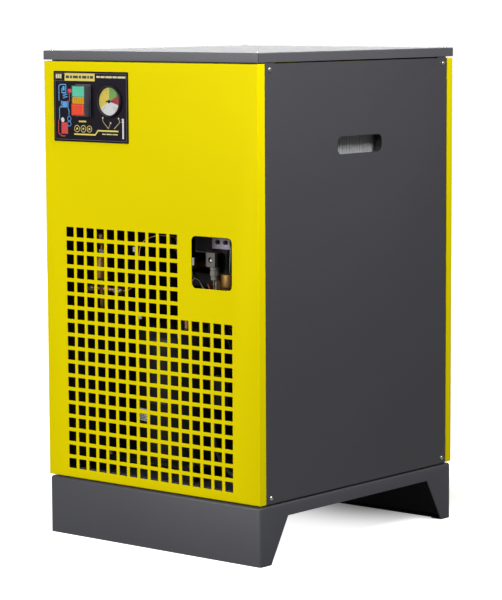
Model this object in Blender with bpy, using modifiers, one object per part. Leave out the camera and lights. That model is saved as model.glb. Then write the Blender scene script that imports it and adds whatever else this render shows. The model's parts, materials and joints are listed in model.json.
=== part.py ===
"""Refrigerated compressed-air dryer in a sheet-metal cabinet.

Metres, +Z up. X runs across the cabinet with its right side at +X, the front faces -Y,
and the origin is on the floor under the middle of the machine.
"""

import math

import bmesh
import bpy
from mathutils import Vector

# Cabinet
CABINET_WIDTH = 0.555
CABINET_DEPTH = 0.625
CABINET_HEIGHT = 0.975
HALF_WIDTH = CABINET_WIDTH / 2
HALF_DEPTH = CABINET_DEPTH / 2
CLEARANCE = 0.0003
CUT_REACH = 0.005

# Lid
LID_SKIRT = 0.018
LID_SHEET = 0.0012
LID_BEND = 0.002
CORNER_SEAM = 0.0009
LID_SCREW_INSET = 0.012

# Door panels at the front and the rear
DOOR_BOTTOM = 0.119
DOOR_TOP = 0.9542
DOOR_SHEET = 0.0015
DOOR_RETURN = 0.020
DOOR_BEND = 0.003

# Side panels
SIDE_DEPTH = 0.582
SIDE_SHEET = 0.0012
SIDE_RETURN = 0.012
SIDE_BEND = 0.002
SIDE_SCREW_Y = 0.278
SIDE_SCREW_Z = (0.1295, 0.9433)
SLOT_LENGTH = 0.142
SLOT_HEIGHT = 0.035
SLOT_CORNER = 0.0125
SLOT_Z = 0.7915
FOAM = 0.015
FOAM_HALF_DEPTH = 0.258
FOAM_INSET = 0.011

# Pan-head screws: head radius, rise of the head, shank radius, length
SIDE_SCREW = (0.0045, 0.0020, 0.0022, 0.009)
LID_SCREW = (0.0042, 0.0018, 0.0022, 0.009)
SCREW_HOLE = 0.0028
SCREW_HOLE_DEPTH = 0.012

# Base
BASE_DEPTH = 0.620
BASE_HEIGHT = 0.116
BASE_SHEET = 0.0025
BASE_BEND = 0.006
FOOT_LIP = 0.025
RAIL_UNDERSIDE = 0.089
ARCH_HALF_FLOOR = 0.2777
ARCH_HALF_TOP = 0.2265

# Inner frames
FRAME_SHEET = 0.002
FRAME_FRONT_Y = 0.2893
FRAME_RETURN = 0.027
FRAME_TOP = 0.9733
FRAME_OPENING_HALF = 0.250
FRAME_OPENING_Z = (0.136, 0.947)

# Grille of square holes
HOLE = 0.020
PITCH = 0.0275
GRILLE_LEFT = -0.221
GRILLE_TOP = 0.6255
GRILLE_COLUMNS = 16
GRILLE_ROWS = 18
SHORT_COLUMNS = 11
SHORT_ROWS = 6
REAR_SLOT = 0.062
REAR_SLOT_PITCH = 0.070
REAR_SLOT_COLUMNS = 4
REAR_SLOT_ROWS = 10

# Service window
WINDOW_LOW = (0.110, 0.525)
WINDOW_HIGH = (0.2115, 0.6255)
WINDOW_RADIUS = 0.010

# Control label, switch and gauge
LABEL_LOW = (-0.249, 0.796)
LABEL_HIGH = (-0.049, 0.935)
LABEL_THICKNESS = 0.0012
SWITCH_X = -0.1671
SWITCH_Z = (0.848, 0.9075)
SWITCH_WIDTH = 0.035
SWITCH_PROUD = 0.018
SWITCH_POCKET = 0.016
SWITCH_BACK_Y = -0.268
SWITCH_OPENING_INSET = 0.0015
BUTTON_DEPTH = 0.012
STOP_PROUD = 0.0205
LAMP_Z = (0.8713, 0.8852)
GAUGE_X = -0.096
GAUGE_Z = 0.8775
GAUGE_RADIUS = 0.031
GAUGE_PROUD = 0.008
GAUGE_OPENING = 0.0258

# Drain valve group
VALVE_X = 0.140
VALVE_Y = -0.243
COIL_Z = (0.551, 0.597)
PLUG_X = 0.135
PLUG_FACE_Y = -0.286
GLAND_Y = -0.2726
STRAINER_X = 0.181
STRAINER_Y = -0.282
LEG_END_Y = -0.230
FEED_Y = -0.150
FEED_Z = 0.541

# Refrigeration circuit
COMPRESSOR_X = -0.1126
COMPRESSOR_Y = -0.075
COMPRESSOR_RADIUS = 0.105
FOOT_SPACING = 0.222
FAN_X = -0.030
FAN_Z = 0.330
FAN_RADIUS = 0.150
COIL_HALF_WIDTH = 0.210
BLADE_COUNT = 5

# Heat exchanger and air pipes
CORE_LOW = (0.052, -0.208, 0.598)
CORE_HIGH = (0.252, 0.148, 0.923)
WRAP = 0.012
AIR_PIPE_X = (0.200, 0.110)
AIR_PIPE_Z = 0.850
PIPE_RADIUS = 0.022
SOCKET_RADIUS = 0.030
SUCTION_X = 0.100
SUCTION_Y = -0.125
PIPE_HOLES = (("feed", STRAINER_X, FEED_Y, 0.0085), ("suction", SUCTION_X, SUCTION_Y, 0.0115))
DRAIN_OUTLET_X = 0.220
POWER_GLAND_X = -0.220
SERVICE_Z = 0.170
SERVICE_OPENING = 0.0105
SOCKET_OPENING = SOCKET_RADIUS + 0.001

UP = (0, 0, 1)
DOWN = (0, 0, -1)
FRONT = (0, -1, 0)
REAR = (0, 1, 0)
RIGHT = (1, 0, 0)
LEFT = (-1, 0, 0)

# Colour, roughness and metallic value of each finish
FINISHES = {
    "yellow_paint": ((0.85, 0.66, 0.0), 0.42, 0.0),
    "dark_paint": ((0.095, 0.09, 0.10), 0.45, 0.0),
    "galvanised": ((0.55, 0.56, 0.57), 0.45, 0.9),
    "zinc": ((0.75, 0.75, 0.73), 0.3, 1.0),
    "brass": ((0.72, 0.50, 0.20), 0.32, 1.0),
    "copper": ((0.78, 0.38, 0.22), 0.35, 1.0),
    "aluminium": ((0.70, 0.71, 0.72), 0.45, 1.0),
    "black_paint": ((0.02, 0.02, 0.022), 0.4, 0.0),
    "black_foam": ((0.02, 0.02, 0.02), 0.95, 0.0),
    "black_plastic": ((0.025, 0.025, 0.028), 0.5, 0.0),
    "grey_plastic": ((0.42, 0.42, 0.42), 0.5, 0.0),
    "black_rubber": ((0.03, 0.03, 0.03), 0.8, 0.0),
    "label_print": ((0.02, 0.025, 0.045), 0.4, 0.0),
    "green_plastic": ((0.03, 0.35, 0.10), 0.35, 0.0),
    "red_plastic": ((0.60, 0.03, 0.03), 0.35, 0.0),
    "amber_lens": ((0.90, 0.50, 0.08), 0.2, 0.0),
    "white_card": ((0.85, 0.85, 0.83), 0.6, 0.0),
    "clear_lens": ((0.90, 0.93, 0.95), 0.05, 0.0),
}


def clear_scene():
    for item in list(bpy.data.objects):
        bpy.data.objects.remove(item, do_unlink=True)


def make_collection(name):
    group = bpy.data.collections.new(name)
    bpy.context.scene.collection.children.link(group)
    return group


clear_scene()
PARTS = make_collection("refrigerated_air_dryer")
CUTTERS = make_collection("cutters")


def finish(name):
    """The Principled material of one finish, made on its first use."""
    found = bpy.data.materials.get(name)
    if found:
        return found
    colour, roughness, metallic = FINISHES[name]
    made = bpy.data.materials.new(name)
    made.use_nodes = True
    shader = made.node_tree.nodes["Principled BSDF"]
    shader.inputs["Base Color"].default_value = (*colour, 1.0)
    shader.inputs["Roughness"].default_value = roughness
    shader.inputs["Metallic"].default_value = metallic
    made.diffuse_color = (*colour, 1.0)
    return made


def place(name, data, colour, location=(0, 0, 0)):
    """A part with its finish or, without one, a cutter that isn't rendered."""
    item = bpy.data.objects.new(name, data)
    item.location = location
    if colour:
        PARTS.objects.link(item)
        data.materials.append(finish(colour))
        return item
    CUTTERS.objects.link(item)
    item.hide_render = True
    item.display_type = "WIRE"
    return item


def to_mesh(name, bm):
    mesh = bpy.data.meshes.new(name)
    bm.to_mesh(mesh)
    bm.free()
    return mesh


def box_bmesh(low, high, origin):
    """A cube from corner to corner, in the coordinates of the origin."""
    bm = bmesh.new()
    bmesh.ops.create_cube(bm, size=1.0)
    low = Vector(low)
    high = Vector(high)
    bmesh.ops.scale(bm, vec=high - low, verts=bm.verts)
    bmesh.ops.translate(bm, vec=(low + high) / 2 - origin, verts=bm.verts)
    return bm


def edges_along(bm, axis):
    """The edges that run along one axis: 0, 1 or 2."""
    found = []
    for edge in bm.edges:
        run = edge.verts[1].co - edge.verts[0].co
        if abs(run[axis]) > 0.999 * run.length:
            found.append(edge)
    return found


def block(name, low, high, colour=None, origin=None, round_along=None, radius=0.0, steps=4):
    """A box. Its edges along one axis can be rounded."""
    origin = Vector(origin) if origin else (Vector(low) + Vector(high)) / 2
    bm = box_bmesh(low, high, origin)
    if radius:
        edges = edges_along(bm, round_along)
        bmesh.ops.bevel(bm, geom=edges, offset=radius, segments=steps, profile=0.5, affect="EDGES")
    return place(name, to_mesh(name, bm), colour, origin)


def soften(item, width, segments=1):
    """A small bevel on every sharp edge."""
    bevel = item.modifiers.new("Soft edges", "BEVEL")
    bevel.width = width
    bevel.segments = segments
    bevel.limit_method = "ANGLE"
    bevel.angle_limit = math.radians(40)
    return item


def smooth(item, angle=35):
    item.data.shade_smooth()
    item.data.set_sharp_from_angle(angle=math.radians(angle))
    return item


def rod(name, start, end, radius, colour=None, segments=24):
    """A cylinder from one point to another, with its origin at the start."""
    run = Vector(end) - Vector(start)
    bm = bmesh.new()
    bmesh.ops.create_cone(
        bm, cap_ends=True, segments=segments, radius1=radius, radius2=radius, depth=run.length
    )
    bmesh.ops.translate(bm, vec=(0, 0, run.length / 2), verts=bm.verts)
    item = place(name, to_mesh(name, bm), colour, start)
    item.rotation_euler = run.to_track_quat("Z", "Y").to_euler()
    return smooth(item)


def turned(name, profile, base, axis, colour=None, steps=32):
    """A turned solid: (radius, height) points, from the top down, about an axis through the base."""
    bm = bmesh.new()
    corners = [bm.verts.new((radius, 0, height)) for radius, height in profile]
    for first, second in zip(corners, corners[1:]):
        bm.edges.new((first, second))
    item = place(name, to_mesh(name, bm), colour, base)
    item.rotation_euler = Vector(axis).to_track_quat("Z", "Y").to_euler()
    screw = item.modifiers.new("Turned", "SCREW")
    screw.steps = steps
    screw.render_steps = steps
    screw.use_merge_vertices = True
    screw.merge_threshold = 0.00001
    screw.use_smooth_shade = True
    return item


def ring_profile(inner, outer, low, high):
    """The closed profile of a plain ring."""
    return [(inner, high), (outer, high), (outer, low), (inner, low), (inner, high)]


def boolean(item, other, operation):
    step = item.modifiers.new(other.name, "BOOLEAN")
    step.operation = operation
    step.solver = "EXACT"
    step.object = other


def cut(item, *cutters):
    for cutter in cutters:
        boolean(item, cutter, "DIFFERENCE")
    return item


def join(item, *pieces):
    for piece in pieces:
        boolean(item, piece, "UNION")
    return item


def sheet(name, low, high, open_sides, thickness, colour, bends=(), bend=0.0, lip=0.0):
    """Folded sheet metal: a box open on some sides, with material inwards of its outline.

    bends holds two-axis signs: each names the fold between two walls that is rounded.
    lip is the width of a rim turned inwards round the first open side.
    """
    origin = (Vector(low) + Vector(high)) / 2
    bm = box_bmesh(low, high, origin)
    bm.faces.ensure_lookup_table()
    folded = []
    for edge in bm.edges:
        ways = [tuple(round(value) for value in face.normal) for face in edge.link_faces]
        if any(set(ways) == set(pair) for pair in bends):
            folded.append(edge)
    gone = []
    for side in open_sides:
        face = next(face for face in bm.faces if face.normal.dot(Vector(side)) > 0.9)
        gone.append(face)
    if lip:
        bmesh.ops.inset_region(bm, faces=[gone[0]], thickness=lip, use_even_offset=True)
    bmesh.ops.delete(bm, geom=gone, context="FACES_ONLY")
    if folded:
        bmesh.ops.bevel(
            bm, geom=folded, offset=bend, segments=3, profile=0.5, affect="EDGES", clamp_overlap=True
        )
    item = place(name, to_mesh(name, bm), colour, origin)
    shell = item.modifiers.new("Sheet", "SOLIDIFY")
    shell.thickness = thickness
    shell.offset = -1.0
    shell.use_even_offset = True
    shell.use_quality_normals = True
    return item


def boxes_cutter(name, centres, size):
    """One cutter made of equal boxes."""
    bm = bmesh.new()
    for centre in centres:
        made = bmesh.ops.create_cube(bm, size=1.0)["verts"]
        bmesh.ops.scale(bm, vec=size, verts=made)
        bmesh.ops.translate(bm, vec=centre, verts=made)
    return place(name, to_mesh(name, bm), None)


def bent_route(corners, bend, steps=4):
    """A pipe's centre line: straight runs joined by arcs of one bend radius."""
    corners = [Vector(corner) for corner in corners]
    route = [corners[0]]
    for before, corner, after in zip(corners, corners[1:], corners[2:]):
        arriving = (before - corner).normalized()
        leaving = (after - corner).normalized()
        half_angle = arriving.angle(leaving) / 2
        setback = bend / math.tan(half_angle)
        centre = corner + (arriving + leaving).normalized() * bend / math.sin(half_angle)
        first = (corner + arriving * setback - centre).normalized()
        last = (corner + leaving * setback - centre).normalized()
        for step in range(steps + 1):
            route.append(centre + first.slerp(last, step / steps) * bend)
    route.append(corners[-1])
    return route


def smooth_route(points, per_span=4):
    """A flexible line's centre line: a Catmull-Rom curve through its points."""
    points = [Vector(point) for point in points]
    padded = [2 * points[0] - points[1], *points, 2 * points[-1] - points[-2]]
    route = []
    for p0, p1, p2, p3 in zip(padded, padded[1:], padded[2:], padded[3:]):
        for step in range(per_span):
            t = step / per_span
            bend = 2 * p1 + (p2 - p0) * t + (2 * p0 - 5 * p1 + 4 * p2 - p3) * t**2
            route.append((bend + (3 * p1 - p0 - 3 * p2 + p3) * t**3) / 2)
    route.append(points[-1])
    return route


def tube(name, route, radius, colour):
    """A round bar along a route, with flat ends."""
    curve = bpy.data.curves.new(name, "CURVE")
    curve.dimensions = "3D"
    curve.bevel_depth = radius
    curve.bevel_resolution = 2
    curve.use_fill_caps = True
    line = curve.splines.new("POLY")
    line.points.add(len(route) - 1)
    for point, place_on_route in zip(line.points, route):
        point.co = (*place_on_route, 1.0)
    return place(name, curve, colour)


def round_folds(main, sides):
    """The folds between a main wall and each of some side walls."""
    return [(main, side) for side in sides]


# Cabinet


def make_base():
    """Base pan: skirts to the floor at the front and rear, raised rails between the feet at the sides."""
    half = BASE_DEPTH / 2
    folds = round_folds(UP, (FRONT, REAR, LEFT, RIGHT))
    folds += [(FRONT, LEFT), (FRONT, RIGHT), (REAR, LEFT), (REAR, RIGHT)]
    base = sheet(
        "base_frame",
        (-HALF_WIDTH, -half, 0),
        (HALF_WIDTH, half, BASE_HEIGHT),
        [DOWN],
        BASE_SHEET,
        "dark_paint",
        bends=folds,
        bend=BASE_BEND,
        lip=FOOT_LIP,
    )
    cut(base, arch_cutter())
    return base


def arch_cutter():
    """The trapezoid that is taken out of both side skirts, right through the base."""
    reach = 0.01
    slope = (ARCH_HALF_FLOOR - ARCH_HALF_TOP) / RAIL_UNDERSIDE
    floor_half = ARCH_HALF_FLOOR + slope * reach
    bm = bmesh.new()
    corners = (
        (-floor_half, -reach),
        (floor_half, -reach),
        (ARCH_HALF_TOP, RAIL_UNDERSIDE),
        (-ARCH_HALF_TOP, RAIL_UNDERSIDE),
    )
    start = -HALF_WIDTH - reach
    face = bm.faces.new([bm.verts.new((start, y, z)) for y, z in corners])
    bm.faces.ensure_lookup_table()
    grown = bmesh.ops.extrude_face_region(bm, geom=[face])["geom"]
    moved = [item for item in grown if isinstance(item, bmesh.types.BMVert)]
    bmesh.ops.translate(bm, vec=(CABINET_WIDTH + 2 * reach, 0, 0), verts=moved)
    bmesh.ops.recalc_face_normals(bm, faces=bm.faces)
    return place("under_base_arch", to_mesh("under_base_arch", bm), None)


def make_lid():
    lid = sheet(
        "top_cover",
        (-HALF_WIDTH, -HALF_DEPTH, CABINET_HEIGHT - LID_SKIRT),
        (HALF_WIDTH, HALF_DEPTH, CABINET_HEIGHT),
        [DOWN],
        LID_SHEET,
        "dark_paint",
        bends=round_folds(UP, (FRONT, REAR, LEFT, RIGHT)),
        bend=LID_BEND,
    )
    for side in (-1, 1):
        for end in (-1, 1):
            cut(lid, corner_seam(side, end))
    return lid


def corner_seam(side, end):
    """The open joint at a lid corner: the front or rear skirt stops short of the side skirt."""
    outer = side * (HALF_WIDTH + 0.001)
    inner = side * (HALF_WIDTH - 0.004)
    edge = end * (HALF_DEPTH - LID_SHEET - CORNER_SEAM)
    beyond = end * (HALF_DEPTH - LID_SHEET)
    low = (min(outer, inner), min(edge, beyond), CABINET_HEIGHT - LID_SKIRT - 0.001)
    high = (max(outer, inner), max(edge, beyond), CABINET_HEIGHT - LID_BEND - 0.001)
    return block(f"lid_seam_{side}_{end}", low, high)


def front_grille():
    """The holes of the front grille. Its upper rows are shorter, beside the window."""
    centres = []
    for row in range(GRILLE_ROWS):
        columns = SHORT_COLUMNS if row < SHORT_ROWS else GRILLE_COLUMNS
        z = GRILLE_TOP - HOLE / 2 - row * PITCH
        for column in range(columns):
            centres.append((GRILLE_LEFT + HOLE / 2 + column * PITCH, -HALF_DEPTH, z))
    return boxes_cutter("front_grille", centres, (HOLE, 0.010, HOLE))


def rear_grille():
    """The long slots behind the fan."""
    centres = []
    for row in range(REAR_SLOT_ROWS):
        z = FAN_Z + (row - (REAR_SLOT_ROWS - 1) / 2) * PITCH
        for column in range(REAR_SLOT_COLUMNS):
            x = FAN_X + (column - (REAR_SLOT_COLUMNS - 1) / 2) * REAR_SLOT_PITCH
            centres.append((x, HALF_DEPTH, z))
    return boxes_cutter("rear_grille", centres, (REAR_SLOT, 0.010, HOLE))


def door_sheet(name, facing):
    """A door panel: the face at the outer plane with a return all round."""
    outer = facing * HALF_DEPTH
    inner = facing * (HALF_DEPTH - DOOR_RETURN)
    main, open_side = (REAR, FRONT) if facing > 0 else (FRONT, REAR)
    return sheet(
        name,
        (-HALF_WIDTH, min(outer, inner), DOOR_BOTTOM),
        (HALF_WIDTH, max(outer, inner), DOOR_TOP),
        [open_side],
        DOOR_SHEET,
        "yellow_paint",
        bends=round_folds(main, (LEFT, RIGHT, UP, DOWN)),
        bend=DOOR_BEND,
    )


def make_front_panel():
    panel = door_sheet("front_panel", -1)
    near = -HALF_DEPTH - CUT_REACH
    far = -HALF_DEPTH + CUT_REACH
    window = block(
        "window_cutter",
        (WINDOW_LOW[0], near, WINDOW_LOW[1]),
        (WINDOW_HIGH[0], far, WINDOW_HIGH[1]),
        round_along=1,
        radius=WINDOW_RADIUS,
    )
    cut(panel, front_grille(), window)
    cut(panel, *control_cutters("panel", near, far))
    return panel


def control_cutters(name, near, far):
    """The openings for the switch body and the gauge body."""
    half = SWITCH_WIDTH / 2 - SWITCH_OPENING_INSET
    switch = block(
        f"{name}_switch_opening",
        (SWITCH_X - half, near, SWITCH_Z[0] + SWITCH_OPENING_INSET),
        (SWITCH_X + half, far, SWITCH_Z[1] - SWITCH_OPENING_INSET),
    )
    start = (GAUGE_X, near, GAUGE_Z)
    end = (GAUGE_X, far, GAUGE_Z)
    gauge = rod(f"{name}_gauge_opening", start, end, GAUGE_OPENING, segments=24)
    return switch, gauge


def make_rear_panel():
    panel = door_sheet("rear_panel", 1)
    near = HALF_DEPTH - CUT_REACH
    far = HALF_DEPTH + CUT_REACH
    cut(panel, rear_grille())
    for x in AIR_PIPE_X:
        start = (x, near, AIR_PIPE_Z)
        end = (x, far, AIR_PIPE_Z)
        cut(panel, rod(f"socket_opening_{x:.3f}", start, end, SOCKET_OPENING, segments=20))
    for x in (DRAIN_OUTLET_X, POWER_GLAND_X):
        start = (x, near, SERVICE_Z)
        end = (x, far, SERVICE_Z)
        cut(panel, rod(f"service_opening_{x:.3f}", start, end, SERVICE_OPENING, segments=12))
    return panel


def slot_cutter(name, low_x, high_x, grow=0.0):
    """The handle slot with rounded corners, right through between two planes."""
    half = SLOT_LENGTH / 2 + grow
    tall = SLOT_HEIGHT / 2 + grow
    return block(
        name,
        (low_x, -half, SLOT_Z - tall),
        (high_x, half, SLOT_Z + tall),
        round_along=0,
        radius=SLOT_CORNER + grow,
        steps=6,
    )


def make_side(name, side):
    """A side panel with its two upright returns and the handle slot."""
    outer = side * HALF_WIDTH
    inner = side * (HALF_WIDTH - SIDE_RETURN)
    main, open_side = (RIGHT, LEFT) if side > 0 else (LEFT, RIGHT)
    half = SIDE_DEPTH / 2
    panel = sheet(
        f"{name}_side_panel",
        (min(outer, inner), -half, DOOR_BOTTOM),
        (max(outer, inner), half, DOOR_TOP),
        [open_side, UP, DOWN],
        SIDE_SHEET,
        "dark_paint",
        bends=round_folds(main, (FRONT, REAR)),
        bend=SIDE_BEND,
    )
    low = min(outer, inner) - CUT_REACH
    high = max(outer, inner) + CUT_REACH
    cut(panel, slot_cutter(f"{name}_slot_cutter", low, high))
    return panel


def make_foam(name, side):
    """The sound-absorbing lining of a side panel."""
    outer = side * (HALF_WIDTH - SIDE_SHEET - CLEARANCE)
    inner = side * (HALF_WIDTH - SIDE_SHEET - CLEARANCE - FOAM)
    foam = block(
        f"{name}_foam_liner",
        (min(outer, inner), -FOAM_HALF_DEPTH, DOOR_BOTTOM + FOAM_INSET),
        (max(outer, inner), FOAM_HALF_DEPTH, DOOR_TOP - FOAM_INSET),
        "black_foam",
    )
    low = min(outer, inner) - CUT_REACH
    high = max(outer, inner) + CUT_REACH
    cut(foam, slot_cutter(f"{name}_foam_slot_cutter", low, high, grow=0.0005))
    return foam


def make_frame(name, facing):
    """An upright inner frame that carries the lid and the side panels' screws."""
    outer = facing * FRAME_FRONT_Y
    inner = facing * (FRAME_FRONT_Y - FRAME_RETURN)
    half = HALF_WIDTH - SIDE_SHEET - CLEARANCE
    bottom = BASE_HEIGHT + CLEARANCE
    open_side = FRONT if facing > 0 else REAR
    frame = sheet(
        name,
        (-half, min(outer, inner), bottom),
        (half, max(outer, inner), FRAME_TOP),
        [open_side],
        FRAME_SHEET,
        "dark_paint",
    )
    reach = facing * (FRAME_FRONT_Y + CUT_REACH)
    back = facing * (FRAME_FRONT_Y - 2 * CUT_REACH)
    opening = block(
        f"{name}_opening",
        (-FRAME_OPENING_HALF, min(reach, back), FRAME_OPENING_Z[0]),
        (FRAME_OPENING_HALF, max(reach, back), FRAME_OPENING_Z[1]),
    )
    tip = facing * (HALF_DEPTH - LID_SHEET - 0.002)
    root = facing * (FRAME_FRONT_Y - FRAME_SHEET)
    flange = block(
        f"{name}_lid_flange",
        (-half, min(tip, root), FRAME_TOP - FRAME_SHEET),
        (half, max(tip, root), FRAME_TOP),
    )
    cut(frame, opening)
    join(frame, flange)
    return frame


# Screws


def screw_profile(head, rise, shank, length):
    """A pan-head screw, from the crown of its head down to its tip."""
    crown = (0.6 * head, 0.9 * rise)
    rim = (head, 0.2 * rise)
    return [(0, rise), crown, rim, (head, 0), (shank, 0), (shank, -length), (0, -length)]


def make_side_screws(name, side, panel, frames):
    """Four screws through a side panel into the frames behind it."""
    number = 0
    face = side * (HALF_WIDTH + CLEARANCE)
    axis = RIGHT if side > 0 else LEFT
    for z in SIDE_SCREW_Z:
        for end in (-1, 1):
            number += 1
            base = (face, end * SIDE_SCREW_Y, z)
            turned(f"{name}_side_screw_{number}", screw_profile(*SIDE_SCREW), base, axis, "zinc", 10)
            inner = (face - side * SCREW_HOLE_DEPTH, base[1], z)
            outer = (face + side * 0.001, base[1], z)
            hole = rod(f"{name}_screw_hole_{number}", inner, outer, SCREW_HOLE, segments=8)
            cut(panel, hole)
            cut(frames[end], hole)


def make_lid_screws(lid, frames):
    """A screw near each corner of the lid."""
    number = 0
    top = CABINET_HEIGHT + CLEARANCE
    for side in (-1, 1):
        for end in (-1, 1):
            number += 1
            x = side * (HALF_WIDTH - LID_SCREW_INSET)
            y = end * (HALF_DEPTH - LID_SCREW_INSET)
            turned(f"top_screw_{number}", screw_profile(*LID_SCREW), (x, y, top), UP, "zinc", 10)
            low = (x, y, top - SCREW_HOLE_DEPTH)
            high = (x, y, top + 0.001)
            hole = rod(f"lid_screw_hole_{number}", low, high, SCREW_HOLE, segments=8)
            cut(lid, hole)
            cut(frames[end], hole)


# Control panel


def make_label():
    back = -HALF_DEPTH - CLEARANCE
    label = block(
        "control_label",
        (LABEL_LOW[0], back - LABEL_THICKNESS, LABEL_LOW[1]),
        (LABEL_HIGH[0], back, LABEL_HIGH[1]),
        "label_print",
        round_along=1,
        radius=0.002,
        steps=2,
    )
    cut(label, *control_cutters("label", back - CUT_REACH, back + CUT_REACH))
    return label


def make_switch():
    """Switch block: a start button on top, a pilot lamp in the middle and a stop button below."""
    face = -HALF_DEPTH - SWITCH_PROUD
    back = -HALF_DEPTH - 2 * CLEARANCE - LABEL_THICKNESS
    half = SWITCH_WIDTH / 2
    low = (SWITCH_X - half, face, SWITCH_Z[0])
    high = (SWITCH_X + half, back, SWITCH_Z[1])
    body = block("switch_body", low, high, "black_plastic")
    inset = 0.0020
    rear = block(
        "switch_rear",
        (SWITCH_X - half + inset, back - 0.001, SWITCH_Z[0] + inset),
        (SWITCH_X + half - inset, SWITCH_BACK_Y, SWITCH_Z[1] - inset),
    )
    wall = 0.0012
    floor = face + SWITCH_POCKET
    pocket = block(
        "switch_pocket",
        (SWITCH_X - half + wall, face - 0.001, SWITCH_Z[0] + wall),
        (SWITCH_X + half - wall, floor, SWITCH_Z[1] - wall),
    )
    join(body, rear)
    cut(body, pocket)
    gap = wall + CLEARANCE
    low_x = SWITCH_X - half + gap
    high_x = SWITCH_X + half - gap
    button("start_button", (low_x, LAMP_Z[1] + 0.0006), (high_x, SWITCH_Z[1] - gap), face, "green_plastic")
    stop_face = -HALF_DEPTH - STOP_PROUD
    button("stop_button", (low_x, SWITCH_Z[0] + gap), (high_x, LAMP_Z[0] - 0.0006), stop_face, "red_plastic")
    lamp = block("pilot_lamp", (low_x, face, LAMP_Z[0]), (high_x, floor - CLEARANCE, LAMP_Z[1]), "amber_lens")
    soften(lamp, 0.0006)
    return body


def button(name, low, high, face, colour):
    """A square push button; its origin is in the middle of its front face."""
    back = face + BUTTON_DEPTH
    origin = ((low[0] + high[0]) / 2, face, (low[1] + high[1]) / 2)
    made = block(name, (low[0], face, low[1]), (high[0], back, high[1]), colour, origin=origin)
    return soften(made, 0.0006)


def make_gauge():
    """Dial gauge. Heights run forwards from the door panel's face."""
    base = (GAUGE_X, -HALF_DEPTH, GAUGE_Z)
    seat = 2 * CLEARANCE + LABEL_THICKNESS
    front = GAUGE_PROUD
    recess = 0.0275
    floor = 0.0036
    case = [
        (0, floor + 0.0020),
        (0.0006, floor + 0.0020),
        (0.0006, floor),
        (recess, floor),
        (recess, front),
        (GAUGE_RADIUS - 0.0012, front),
        (GAUGE_RADIUS, front - 0.0012),
        (GAUGE_RADIUS, seat),
        (0.0250, seat),
        (0.0250, -0.034),
        (0, -0.034),
    ]
    turned("gauge_case", case, base, FRONT, "black_plastic", 32)
    disc = recess - CLEARANCE
    dial = ring_profile(0.0010, disc, floor + 0.0003, floor + 0.0008)
    turned("gauge_dial", dial, base, FRONT, "white_card", 32)
    make_needle(floor + 0.0012)
    lens = [(0, front - 0.0003), (disc, front - 0.0003), (disc, front - 0.0013), (0, front - 0.0013)]
    turned("gauge_lens", lens, base, FRONT, "clear_lens", 32)


def make_needle(height):
    """The needle points right at rest. It turns about the gauge's middle."""
    y = -HALF_DEPTH - height
    origin = (GAUGE_X, y, GAUGE_Z)
    long_arm = 0.0215
    needle = block(
        "gauge_needle",
        (GAUGE_X - 0.007, y - 0.0006, GAUGE_Z - 0.0009),
        (GAUGE_X + long_arm, y, GAUGE_Z + 0.0009),
        "black_plastic",
        origin=origin,
    )
    hub = rod("needle_hub", (GAUGE_X, y, GAUGE_Z), (GAUGE_X, y - 0.0014, GAUGE_Z), 0.0034, segments=14)
    bore_start = (GAUGE_X, y + 0.001, GAUGE_Z)
    bore = rod("needle_bore", bore_start, (GAUGE_X, y - 0.0010, GAUGE_Z), 0.0010, segments=8)
    join(needle, hub)
    cut(needle, bore)
    return needle


# Drain valve group, behind the service window


def make_drain_valve():
    stem_radius = 0.0065
    body = block(
        "drain_valve_body",
        (VALVE_X - 0.018, VALVE_Y - 0.015, 0.515),
        (VALVE_X + 0.018, VALVE_Y + 0.018, 0.5455),
        "brass",
        round_along=2,
        radius=0.004,
        steps=2,
    )
    stem_top = (VALVE_X, VALVE_Y, COIL_Z[1] - 0.001)
    join(body, rod("valve_stem", (VALVE_X, VALVE_Y, 0.540), stem_top, stem_radius, segments=16))
    coil = block(
        "drain_coil",
        (VALVE_X - 0.018, VALVE_Y - 0.018, COIL_Z[0]),
        (VALVE_X + 0.018, VALVE_Y + 0.018, COIL_Z[1]),
        "black_plastic",
        round_along=2,
        radius=0.005,
    )
    bore_start = (VALVE_X, VALVE_Y, COIL_Z[0] - 0.002)
    bore_end = (VALVE_X, VALVE_Y, COIL_Z[1] + 0.002)
    cut(coil, rod("coil_bore", bore_start, bore_end, stem_radius + CLEARANCE, segments=16))


def make_plug_connector():
    """The square plug on the coil, its centre screw and its downward cable gland."""
    back = VALVE_Y - 0.018 - CLEARANCE
    low = (PLUG_X - 0.0115, PLUG_FACE_Y, 0.564)
    high = (PLUG_X + 0.0115, back, 0.592)
    plug = soften(block("din_connector", low, high, "grey_plastic"), 0.0015)
    centre_z = (low[2] + high[2]) / 2
    face = (PLUG_X, PLUG_FACE_Y, centre_z)
    recess_start = (PLUG_X, PLUG_FACE_Y - 0.001, centre_z)
    recess_end = (PLUG_X, PLUG_FACE_Y + 0.0055, centre_z)
    recess = rod("plug_recess", recess_start, recess_end, 0.0052, segments=20)
    bore = rod("plug_bore", face, (PLUG_X, back + 0.001, centre_z), 0.0018, segments=10)
    cut(plug, recess, bore)
    head = 0.0034
    shank = 0.0015
    screw = [(0, -0.0031), (head, -0.0031), (head, -0.0052), (shank, -0.0052), (shank, -0.024), (0, -0.024)]
    turned("connector_screw", screw, face, FRONT, "zinc", 12)
    gland = [
        (0, -CLEARANCE),
        (0.0093, -CLEARANCE),
        (0.0093, -0.0175),
        (0.0078, -0.0185),
        (0.0082, -0.0200),
        (0.0082, -0.0250),
        (0.0066, -0.0262),
        (0, -0.0262),
    ]
    turned("connector_gland", gland, (PLUG_X, GLAND_Y, low[2]), UP, "grey_plastic", 16)
    return low[2] - 0.0262


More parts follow.
